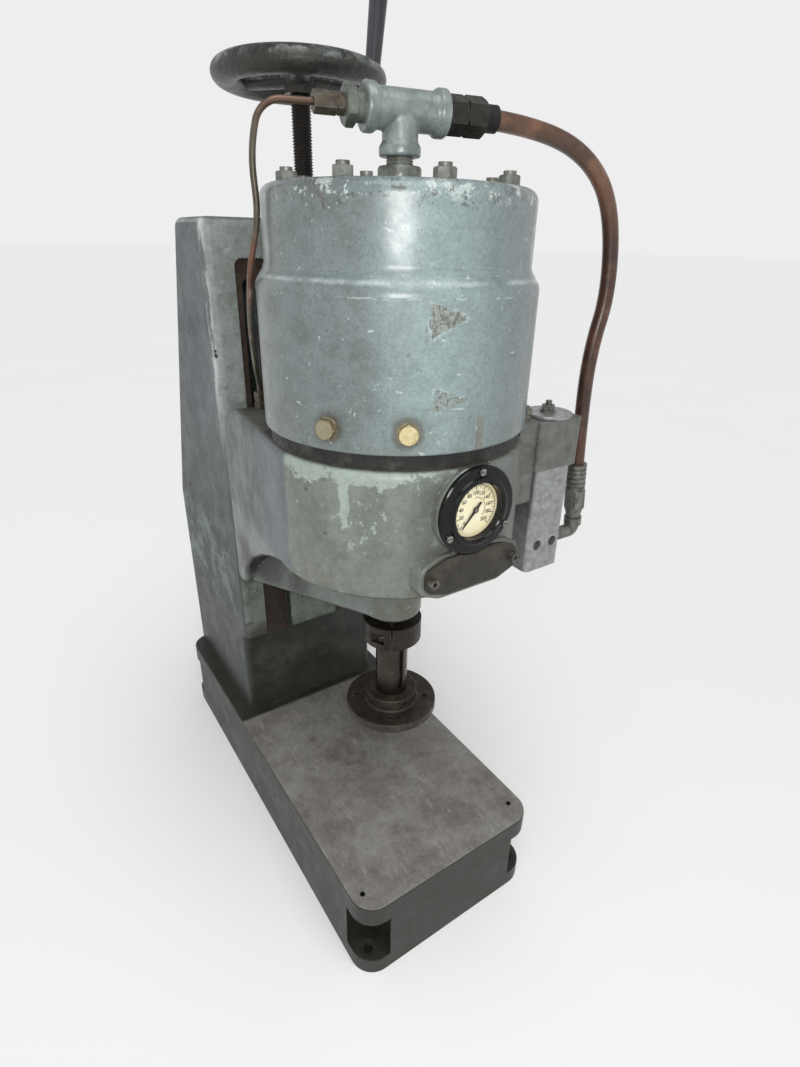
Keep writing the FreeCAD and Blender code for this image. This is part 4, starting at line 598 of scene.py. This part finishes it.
MATS["tubenut"] = metal("tube_fitting_brown", (96, 88, 76), (66, 60, 52), 0.40, 0.4, spots=((118, 108, 94), 0.5), bumpy=0.3, wear=(140, 130, 114), scale=140)
MATS["alu"] = metal("cast_aluminium", (168, 170, 170), (140, 142, 142), 0.42, 0.75, spots=((116, 118, 116), 0.4), bumpy=0.35, scale=120)
MATS["valve"] = metal("valve_grey", (112, 114, 110), (92, 94, 90), 0.45, 0.25, spots=((74, 72, 66), 0.5), bumpy=0.35, wear=(150, 152, 148), scale=90)
MATS["seal"] = metal("seal_rubber", (26, 26, 26), (18, 18, 18), 0.6, 0.0, scale=90)
MATS["cover"] = metal("cover_brown", (58, 55, 48), (44, 41, 35), 0.50, 0.15, spots=((74, 70, 60), 0.6), bumpy=0.5, wear=(82, 78, 68), scale=70)
MATS["worn"] = metal("worn_screw", (112, 110, 102), (72, 68, 60), 0.36, 0.6, spots=((50, 45, 39), 0.5), scale=220)
MATS["screwhead"] = metal("screw_head", (168, 168, 164), (120, 118, 112), 0.26, 0.95, spots=((80, 74, 66), 0.4), scale=200)


def brass_mat():
    """Port plugs: pale brass on the round face, grey-brown on the hex around it as painted shade for a chamfer, the
    left plug greyer.
    """
    k = Mat("brass_face")
    n = k.noise(130, 6, 0.65)
    col = k.mix(k.step(n, 0.36, 0.66), lin((212, 200, 158)), lin((186, 170, 126)))
    grey = k.step(k.x, -0.082, -0.094)
    col = k.mix(k.mul(grey, 0.80), col, lin((122, 118, 102)))
    face = None
    for a in PLUG_DEG:
        ar = math.radians(a)
        dirv = Vector((math.cos(ar), math.sin(ar), 0))
        c0 = Vector((0, AX.y, PLUG_Z))
        cr = k.vmath("CROSS_PRODUCT", k.vmath("SUBTRACT", k.P, tuple(c0)), tuple(dirv))
        ln = k.t.nodes.new("ShaderNodeVectorMath")
        ln.operation = "LENGTH"
        k.put(ln.inputs[0], cr)
        f = k.step(ln.outputs["Value"], 0.0071, 0.0067)
        face = f if face is None else k.mx(face, f)
    # painted shade: the hex outside the round face is darkened as the shade of a chamfer
    col = k.mix(k.mul(k.inv(face), 0.78), col, lin((92, 84, 62)))
    col = k.mix(k.mul(k.step(k.noise(90, 7, 0.7, off=(4, 4, 4)), 0.5, 0.64), 0.6), col, lin((122, 110, 82)))
    col = k.mix(k.mul(k.edge(0.0010), k.step(k.noise(160, 4, 0.6), 0.36, 0.55)), col, lin((196, 184, 150)))
    k.bump(n, 0.18, 0.0006, 0.0004)
    return k.done(col, k.fmix(k.step(n, 0.3, 0.7), 0.28, 0.46), 0.45, 0.0, 0.5)


MATS["brass"] = brass_mat()


def copper_mat():
    """Old tube: dull olive-brown oxide, redder where it was bent, bright along worn places."""
    k = Mat("tarnished_copper")
    n = k.noise(60, 6, 0.65, k.stretch(1, 1, 0.5))
    col = k.mix(k.step(n, 0.34, 0.66), lin((98, 92, 80)), lin((68, 63, 54)))
    red = k.mx(k.band(k.z, 0.6560, 0.7020, 0.010), k.mul(k.step(k.z, 0.765, 0.785), 0.6))
    col = k.mix(k.mul(red, 0.85), col, k.mix(k.step(n, 0.34, 0.66), lin((122, 86, 70)), lin((92, 64, 52))))
    col = k.mix(k.mul(k.step(k.noise(130, 6, 0.7, off=(4, 4, 4)), 0.52, 0.66), 0.55), col, lin((60, 52, 46)))
    col = k.mix(k.mul(k.step(k.noise(70, 4, 0.6, k.stretch(1, 1, 0.4), off=(8, 4, 4)), 0.62, 0.70), 0.6), col, lin((158, 142, 122)))
    k.bump(n, 0.15, 0.0006)
    return k.done(col, k.fmix(k.step(n, 0.3, 0.7), 0.26, 0.42), 0.55, 0.0, 0.5)


MATS["copper"] = copper_mat()


def wheel_mat():
    k = Mat("wheel_paint")
    n2 = k.noise(60, 7, 0.72, off=(2, 2, 2))
    col = k.mix(k.step(k.noise(22, 6, 0.65), 0.4, 0.64), lin((24, 25, 22)), lin((40, 43, 39)))
    col = k.mix(k.mul(k.step(n2, 0.54, 0.66), 0.5), col, lin((80, 84, 80)))
    # worn paint on the upward faces, kept light there also as a painted highlight from the light above
    worn = k.mul(k.step(k.noise(34, 7, 0.74, off=(3, 2, 1)), 0.45, 0.52), k.step(k.nz, -0.10, 0.30))
    wc = k.mix(k.step(n2, 0.42, 0.58), lin((118, 124, 120)), lin((62, 66, 62)))
    col = k.mix(k.mul(worn, 0.92), col, wc)
    br = k.mul(k.step(k.noise(17, 5, 0.6, off=(8, 8, 1)), 0.50, 0.62), k.step(k.nz, 0.75, 0.3))
    col = k.mix(k.mul(br, 0.7), col, lin((50, 43, 36)))
    col = k.mix(k.mul(specks(k, 300, 0.3, 22, 0.40), 0.6), col, lin((26, 24, 22)))
    col = k.mix(k.mul(k.mul(k.edge(0.002), k.step(k.noise(90, 5, 0.7), 0.44, 0.6)), 0.5), col, lin((112, 116, 110)))
    col = mottle(k, col, 0.22, 260)
    rough = k.fmix(k.step(n2, 0.35, 0.65), 0.30, 0.46)
    h = k.plus(k.mul(k.noise(90, 4, 0.6), 1.0), k.mul(k.noise(420, 4, 0.65), 0.4))
    k.bump(h, 0.85, 0.0022, 0.001)
    return k.done(col, rough, 0.15, 0.12, 0.5, 0.25)


MATS["wheel"] = wheel_mat()


def handle_mat():
    k = Mat("handle_dark")
    g = k.noise(60, 5, 0.6, k.stretch(1, 1, 0.15))
    col = k.mix(k.step(g, 0.35, 0.7), lin((36, 37, 42)), lin((52, 53, 58)))
    col = k.mix(k.mul(k.step(k.noise(50, 5, 0.7, k.stretch(1, 1, 0.3), off=(2, 5, 2)), 0.6, 0.68), 0.5), col, lin((100, 101, 106)))
    k.bump(g, 0.12, 0.0006)
    return k.done(col, k.fmix(k.step(g, 0.3, 0.7), 0.26, 0.40), 0.05, 0.25, 0.4, 0.2)


MATS["handle"] = handle_mat()


def hose_mat():
    k = Mat("hose_rubber")
    col = k.mix(k.step(k.noise(28, 6, 0.65), 0.35, 0.68), lin((84, 52, 38)), lin((58, 39, 30)))
    # the upper run of the hose is coloured lighter and tan: partly its own colour, partly a painted highlight
    up = k.mul(k.step(k.z, 0.700, 0.765), 0.75)
    col = k.mix(up, col, k.mix(k.step(k.noise(40, 7, 0.70), 0.40, 0.60), lin((122, 88, 68)), lin((84, 62, 50))))
    col = k.mix(k.mul(k.step(k.noise(70, 6, 0.7, off=(2, 2, 7)), 0.52, 0.68), 0.45), col, lin((112, 84, 66)))
    col = k.mix(k.mul(k.step(k.noise(12, 4, 0.6, off=(7, 1, 1)), 0.52, 0.68), 0.6), col, lin((50, 38, 32)))
    col = k.mix(k.mul(specks(k, 240, 0.22, 24, 0.44), 0.5), col, lin((34, 28, 24)))
    k.bump(k.plus(k.noise(300, 3), k.mul(k.noise(50, 3), 1.0)), 0.12, 0.0008)
    return k.done(col, k.fmix(k.noise(60, 4), 0.26, 0.40), 0.0, 0.22, 0.38, 0.20)


MATS["hose"] = hose_mat()


def black_mat():
    k = Mat("gauge_black")
    n = k.noise(90, 5, 0.6)
    col = k.mix(k.step(n, 0.35, 0.7), lin((7, 7, 8)), lin((14, 14, 14)))
    dust = k.mul(k.step(k.noise(60, 6, 0.7, off=(1, 1, 5)), 0.58, 0.72), 0.25)
    col = k.mix(dust, col, lin((60, 59, 55)))
    k.bump(n, 0.1, 0.0005, 0.0006)
    return k.done(col, k.fmix(dust, 0.14, 0.4), 0.0, 0.0, 0.28, 0.1)


MATS["black"] = black_mat()


def dial_mat():
    k = Mat("dial_cream")
    col = k.mix(k.step(k.noise(60, 5, 0.6), 0.35, 0.7), lin((255, 250, 216)), lin((255, 243, 198)))
    col = k.mix(k.mul(k.step(k.noise(38, 5, 0.6, off=(3, 3, 3)), 0.56, 0.72), 0.30), col, lin((224, 198, 142)))
    rimd = k.inv(k.near((0, -0.2622, 0.5095), 0.018, 0.0235, 0.004, 200))
    col = k.mix(k.mul(rimd, 0.35), col, lin((196, 170, 120)))
    k.bump(k.noise(500, 2), 0.03, 0.0003)
    return k.done(col, k.fmix(k.noise(50, 3), 0.5, 0.6), 0.0, 0.0, 0.3)


MATS["dial"] = dial_mat()


def ink_mat(name, a, b):
    k = Mat(name)
    col = k.mix(k.noise(200, 3), lin(a), lin(b))
    return k.done(col, k.fmix(k.noise(200, 2), 0.45, 0.6), 0.0, 0.0, 0.3)


MATS["ink"] = ink_mat("dial_ink", (26, 23, 21), (44, 38, 34))
MATS["red"] = ink_mat("dial_red", (142, 66, 52), (120, 58, 48))


def glass_mat():
    k = Mat("gauge_glass")
    k.b.inputs["Alpha"].default_value = 0.06
    k.b.inputs["IOR"].default_value = 1.9
    col = k.mix(k.noise(80, 3), lin((60, 61, 60)), lin((46, 47, 46)))
    return k.done(col, k.fmix(k.step(k.noise(90, 4), 0.4, 0.7), 0.02, 0.07), 0.0, 0.0, 0.5)


MATS["glass"] = glass_mat()

USE = {
    "press_frame": "frame", "screw_bracket": "plain", "bracket_screws": "dark", "screw_nut": "bronze",
    "head_casting": "head", "clamp_studs": "dark", "clamp_plates": "dark", "clamp_nuts": "dark", "ram_bushes": "bronze",
    "elevating_screw": "screw", "screw_retainer": "dark", "handwheel": "wheel", "wheel_nut": "dark", "handle_stud": "dark", "crank_handle": "handle",
    "spacer_ring": "ring", "cylinder_casting": "cyl", "tie_studs": "grey", "tie_nuts": "nut", "vent_screws": "grey", "port_plugs": "brass",
    "ram": "ramsteel", "piston": "alu", "piston_seal": "seal", "piston_nut": "dark", "return_spring": "dark", "split_collar": "dark", "collar_screw": "dark",
    "platen": "platen", "platen_screw": "dark", "guide_screw": "dark", "pipe_coupling": "fitworn", "pipe_nipple": "fitworn", "pipe_tee": "fit",
    "tee_bushing": "fitworn", "tube_connector": "tubenut", "tube_nut": "tubenut", "hose_adaptor": "darkfit", "hose_swivel_nut": "darkfit", "hose_ferrule_top": "seal",
    "copper_tube": "copper", "deck_fitting": "tubenut", "air_hose": "hose", "hose_ferrule_low": "grey", "hose_nut_low": "grey", "valve_elbow": "grey",
    "valve_body": "alu", "valve_block": "valve", "valve_disc": "alu", "valve_bolt": "grey", "valve_bracket": "valve", "bracket_bolts": "grey", "bracket_stud": "grey",
    "gauge_case": "black", "gauge_dial": "dial", "gauge_needle": "ink", "gauge_lens": "glass", "gauge_screws": "screwhead", "cover_plate": "cover", "cover_screws": "worn",
}
for node, key in USE.items():
    ob = N[node]
    ob.data.materials.clear()
    ob.data.materials.append(MATS[key])


# ------------------------------------------------------------------ helpers
def link(ob):
    bpy.context.scene.collection.objects.link(ob)
    return ob


def mesh_object(name, bm, mat, body, smooth=True):
    me = bpy.data.meshes.new(name)
    bmesh.ops.recalc_face_normals(bm, faces=bm.faces)
    bm.to_mesh(me)
    bm.free()
    ob = link(bpy.data.objects.new(name, me))
    me.materials.append(MATS[mat])
    for p in me.polygons:
        p.use_smooth = smooth
    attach(ob, body)
    return ob


def lathe(bm, prof, mat4, seg=48, closed=True):
    """Solid of revolution about local Z from (radius, height) pairs."""
    rings = []
    for r, z in prof:
        if r < 1e-7:
            rings.append([bm.verts.new(mat4 @ Vector((0, 0, z)))])
        else:
            rings.append([bm.verts.new(mat4 @ Vector((r * math.cos(2 * math.pi * i / seg), r * math.sin(2 * math.pi * i / seg), z))) for i in range(seg)])
    pairs = list(zip(rings, rings[1:])) + ([(rings[-1], rings[0])] if closed else [])
    for a, b in pairs:
        if len(a) == 1 and len(b) == 1:
            continue
        for i in range(seg):
            j = (i + 1) % seg
            if len(a) == 1:
                bm.faces.new((a[0], b[j], b[i]))
            elif len(b) == 1:
                bm.faces.new((a[i], a[j], b[0]))
            else:
                bm.faces.new((a[i], a[j], b[j], b[i]))


def place(loc, zdir, xdir=None):
    z = Vector(zdir).normalized()
    x = Vector(xdir) if xdir is not None else (Vector((1, 0, 0)) if abs(z.x) < 0.9 else Vector((0, 1, 0)))
    y = z.cross(x).normalized()
    x = y.cross(z)
    return Matrix(((x.x, y.x, z.x, loc[0]), (x.y, y.y, z.y, loc[1]), (x.z, y.z, z.z, loc[2]), (0, 0, 0, 1)))


# --------------------------------------------------------------- hose (cord)
e1 = (math.cos(TA), math.sin(TA))
hose_pts = [(0.072 * e1[0], AX.y + 0.072 * e1[1], TEE_Z), (0.1211, -0.1714, 0.7881), (0.1724, -0.1824, 0.7701), (0.2027, -0.1888, 0.7330),
            (0.2135, -0.1911, 0.6622), (0.2026, -0.1888, 0.6107), (0.2024, -0.1889, 0.5492), (0.2078, -0.1896, 0.4860)]
cu = bpy.data.curves.new("air_hose_line", "CURVE")
cu.dimensions = "3D"
sp = cu.splines.new("NURBS")
sp.points.add(len(hose_pts) - 1)
for p, q in zip(sp.points, hose_pts):
    p.co = (q[0], q[1], q[2], 1)
sp.order_u = 3
sp.use_endpoint_u = True
sp.resolution_u = 16
cu.bevel_depth = 0.00725
cu.bevel_resolution = 8
cu.use_fill_caps = True
hose = link(bpy.data.objects.new("air_hose_line", cu))
cu.materials.append(MATS["hose"])
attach(hose, "head")
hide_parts("air_hose")


def quad_spline_length(pts):
    """Length of the clamped quadratic B-spline through the controls, uniform knots."""
    P = [Vector(p) for p in pts]
    n = len(P)
    total = 0.0
    last = None
    for k in range(n - 2):
        a = P[0] if k == 0 else (P[k] + P[k + 1]) / 2
        b = P[n - 1] if k == n - 3 else (P[k + 1] + P[k + 2]) / 2
        m = P[k + 1]
        for i in range(201):
            t = i / 200
            q = a * (1 - t) ** 2 + m * 2 * t * (1 - t) + b * t * t
            if last is not None:
                total += (q - last).length
            last = q
    return total


HOSE_LEN = quad_spline_length(hose_pts)
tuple(hose_pts[0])

# ------------------------------------------------------ threaded screw shaft
PITCH = 0.00254


def thread_mesh(name, r_out, depth, z0, z1, x, y, mat, body, seg=40, pitch=PITCH):
    bm = bmesh.new()
    per = 4
    turns = (z1 - z0) / pitch
    rows = int(turns * per)
    prof = [0.0, 0.62, 1.0, 0.62]
    grid = []
    for j in range(rows + 1):
        row = []
        for i in range(seg):
            a = 2 * math.pi * i / seg
            zz = z0 + (j / per) * pitch + pitch * i / seg - pitch
            zc = min(max(zz, z0), z1)
            r = r_out - depth * prof[j % per]
            row.append(bm.verts.new((x + r * math.cos(a), y + r * math.sin(a), zc)))
        grid.append(row)
    for j in range(rows):
        for i in range(seg):
            k = (i + 1) % seg
            if k == 0:
                # the helix steps up one pitch where it closes
                if j + 1 + per <= rows:
                    bm.faces.new((grid[j][i], grid[j + per][0], grid[j + 1 + per][0], grid[j + 1][i]))
            else:
                bm.faces.new((grid[j][i], grid[j][k], grid[j + 1][k], grid[j + 1][i]))
    return mesh_object(name, bm, mat, body)


SX, SY = 0.0, 0.0209
thr = thread_mesh("screw_thread", 0.0095, 0.0014, 0.5562, 0.8205, SX, SY, "screw", "screw")
bm = bmesh.new()
lathe(bm, [(0, 0.518), (0.007, 0.518), (0.008, 0.519), (0.008, 0.5461), (0.0135, 0.5461), (0.0135, 0.5546), (0.0095, 0.5546), (0.0095, 0.5560), (0.0080, 0.5575),
           (0.0080, 0.8195), (0.0094, 0.8206), (0.0094, 0.8220), (0.0079, 0.8220), (0.0079, 0.858), (0.007, 0.859), (0, 0.859)], place((SX, SY, 0), (0, 0, 1)), 40, False)
core = mesh_object("screw_core", bm, "screw", "screw")
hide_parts("elevating_screw")

# --------------------------------------------------------------- gauge face
GC = Vector((0, -0.263, 0.5095))


def dial_point(r, deg, off=-0.00085):
    """deg clockwise from twelve o'clock, seen from the front."""
    a = math.radians(deg)
    return Vector((GC.x + r * math.sin(a), GC.y - off, GC.z + r * math.cos(a)))


bm = bmesh.new()


def tick(deg, r0, r1, w):
    a = math.radians(deg)
    d = Vector((math.sin(a), 0, math.cos(a)))
    q = Vector((math.cos(a), 0, -math.sin(a))) * w / 2
    base = dial_point(0, 0)
    pts = [base + d * r0 - q, base + d * r1 - q, base + d * r1 + q, base + d * r0 + q]
    lo = [bm.verts.new(p) for p in pts]
    hi = [bm.verts.new(p + Vector((0, -0.00012, 0))) for p in pts]
    bm.faces.new(hi)
    bm.faces.new(lo[::-1])
    for i in range(4):
        bm.faces.new((lo[i], lo[(i + 1) % 4], hi[(i + 1) % 4], hi[i]))


A0, A1, TOP = -135.0, 135.0, 200
for v in range(0, TOP + 1, 5):
    d = A0 + (A1 - A0) * v / TOP
    if v % 20 == 0:
        tick(d, 0.0172, 0.0212, 0.00062)
    elif v % 10 == 0:
        tick(d, 0.0184, 0.0212, 0.00045)
    else:
        tick(d, 0.0194, 0.0212, 0.00032)
# thin arc under the marks
for i in range(90):
    d = A0 + (A1 - A0) * (i + 0.5) / 90
    tick(d, 0.0211, 0.0214, 0.0212 * math.radians((A1 - A0) / 90) * 1.05)
marks = mesh_object("dial_marks", bm, "ink", "head", False)
# second, red scale inside the first
bm = bmesh.new()
for i in range(64):
    d = 0.0 + (A1 - 6) * (i + 0.5) / 64
    tick(d, 0.01055, 0.01080, 0.0107 * math.radians((A1 - 6) / 64) * 1.06)
for i in range(17):
    tick(i * (A1 - 6) / 16, 0.0095, 0.01065, 0.00028)
red = mesh_object("dial_red_scale", bm, "red", "head", False)


def dial_text(name, txt, size, pos, extra=0.0):
    cv = bpy.data.curves.new(name, "FONT")
    cv.body = txt
    cv.size = size
    cv.align_x = "CENTER"
    cv.align_y = "CENTER"
    cv.extrude = 0.00006
    cv.offset = 0.00007
    cv.resolution_u = 3
    ob = link(bpy.data.objects.new(name, cv))
    ob.matrix_world = Matrix(((1, 0, 0, pos.x), (0, 0, -1, pos.y), (0, 1, 0, pos.z), (0, 0, 0, 1)))
    cv.materials.append(MATS["ink"])
    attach(ob, "head")
    return ob


for v in range(0, TOP + 1, 20):
    d = A0 + (A1 - A0) * v / TOP
    dial_text("dial_no_%d" % v, str(v), 0.0045, dial_point(0.0143, d))

bm = bmesh.new()
lathe(bm, [(0, 0), (0.0021, 0), (0.0021, 0.0008), (0.0016, 0.0013), (0, 0.0015)], place((0, -0.2638, 0.5095), (0, -1, 0)), 28, False)
hub = mesh_object("needle_hub", bm, "screwhead", "needle")

pts = [(0.0079, 0.7385), (0.0103, 0.7385), (0.0103, 0.7530)]
zz = 0.7530
while zz < 0.7610:
    pts += [(0.0097, zz + 0.0002), (0.01065, zz + 0.0008), (0.01065, zz + 0.0011), (0.0097, zz + 0.0017)]
    zz += 0.0018
pts += [(0.0103, zz + 0.0004), (0.0103, 0.7715), (0.0079, 0.7715)]
bm = bmesh.new()
lathe(bm, pts, place((0, AX.y, 0), (0, 0, 1)), 64, True)
nip = mesh_object("nipple_thread", bm, "fitworn", "head")
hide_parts("pipe_nipple")

# ----------------------------------------------------- cast tee, voxel-fused
bm = bmesh.new()
al = place(run_pt(0), E1)


def bead(z, h, r):
    return [(0, z), (r - 0.0012, z), (r, z + 0.0012), (r, z + h - 0.003), (r - 0.0020, z + h)]


def add_lathe(prof, m4):
    lathe(bm, prof, m4, 56, False)


R0 = 0.0139
add_lathe([(0, -0.0300), (0.0150, -0.0300), (0.0164, -0.0290), (0.0164, -0.0226), (0.0146, -0.0204), (R0, -0.0190), (R0, 0.0250), (0.0146, 0.0266), (0.0164, 0.0288), (0.0164, 0.0352), (0.0150, 0.0362), (0, 0.0362)], al)
vert = place((0, AX.y, 0), (0, 0, 1))
add_lathe([(0, 0.7601), (0.0150, 0.7601), (0.0161, 0.7610), (0.0161, 0.7668), (0.0150, 0.7684), (0.0138, 0.7700), (0.0138, TEE_Z + 0.004), (0, TEE_Z + 0.010)], vert)
tee = mesh_object("tee_casting", bm, "fit", "head")
md = tee.modifiers.new("fuse", "REMESH")
md.mode = "VOXEL"
md.voxel_size = 0.0007
md.use_smooth_shade = True
md2 = tee.modifiers.new("soften", "SMOOTH")
md2.factor = 0.5
md2.iterations = 9
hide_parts("pipe_tee")

# ---------------------------------------------------------------- floor, light
bm = bmesh.new()
S = 60.0
vs = [bm.verts.new((x * S, y * S, -0.0002)) for x, y in ((-1, -1), (1, -1), (1, 1), (-1, 1))]
bm.faces.new(vs)
me = bpy.data.meshes.new("floor")
bm.to_mesh(me)
bm.free()
floor = link(bpy.data.objects.new("floor", me))
k = Mat("floor_pale")
MATS["floor"] = k.done(k.mix(k.noise(1.5, 3), lin((244, 244, 243)), lin((241, 241, 240))), k.fmix(k.noise(3, 2), 0.8, 0.9), 0.0, 0.0, 0.1)
me.materials.append(MATS["floor"])

# sky: pale near the horizon like the floor, greyer overhead
world = bpy.data.worlds.new("world")
bpy.context.scene.world = world
world.use_nodes = True
wt = world.node_tree
wc = wt.nodes.new("ShaderNodeTexCoord")
wsep = wt.nodes.new("ShaderNodeSeparateXYZ")
wt.links.new(wc.outputs["Generated"], wsep.inputs[0])
wr = wt.nodes.new("ShaderNodeMapRange")
wr.interpolation_type = "SMOOTHSTEP"
wr.inputs[1].default_value, wr.inputs[2].default_value = 0.33, 0.75
wr.inputs[3].default_value, wr.inputs[4].default_value = 0.0, 1.0
wt.links.new(wsep.outputs[2], wr.inputs[0])
wm = wt.nodes.new("ShaderNodeMix")
wm.data_type = "RGBA"
wt.links.new(wr.outputs[0], wm.inputs[0])
wm.inputs[6].default_value = (W_LOW, W_LOW, W_LOW, 1)
wm.inputs[7].default_value = (W_TOP * 0.96, W_TOP * 0.985, W_TOP, 1)
wt.links.new(wm.outputs[2], wt.nodes["Background"].inputs[0])
wt.nodes["Background"].inputs[1].default_value = 1.0


def area(name, loc, target, sx, sy, power, color=(1, 1, 1)):
    li = bpy.data.lights.new(name, "AREA")
    li.shape = "RECTANGLE"
    li.size, li.size_y = sx, sy
    li.energy = power
    li.color = color
    ob = link(bpy.data.objects.new(name, li))
    ob.location = loc
    d = Vector(target) - Vector(loc)
    ob.rotation_euler = d.to_track_quat("-Z", "Y").to_euler()
    return ob


# soft overhead light leaning towards the front, and a lamp beside the camera
sun = bpy.data.lights.new("overhead", "SUN")
sun.energy = SUN
sun.angle = math.radians(50)
so = link(bpy.data.objects.new("overhead", sun))
so.rotation_euler = (Vector((0.10, 0.42, -1.0))).to_track_quat("-Z", "Y").to_euler()
CAMP = Vector((-0.3036, -0.5986, 0.7022))
area("key", CAMP - fwd * 0.06 + Vector((0.015, -0.01, 0.035)), (0.0, -0.15, 0.60), 0.17, 0.17, KEY, (1.0, 0.995, 0.98))
area("left", (-1.9, 0.1, 1.3), (0, 0, 0.45), 1.0, 1.4, 2.0, (0.94, 0.96, 1.0))

vs_ = bpy.context.scene.view_settings
vs_.view_transform = "Standard"
vs_.look = "None"
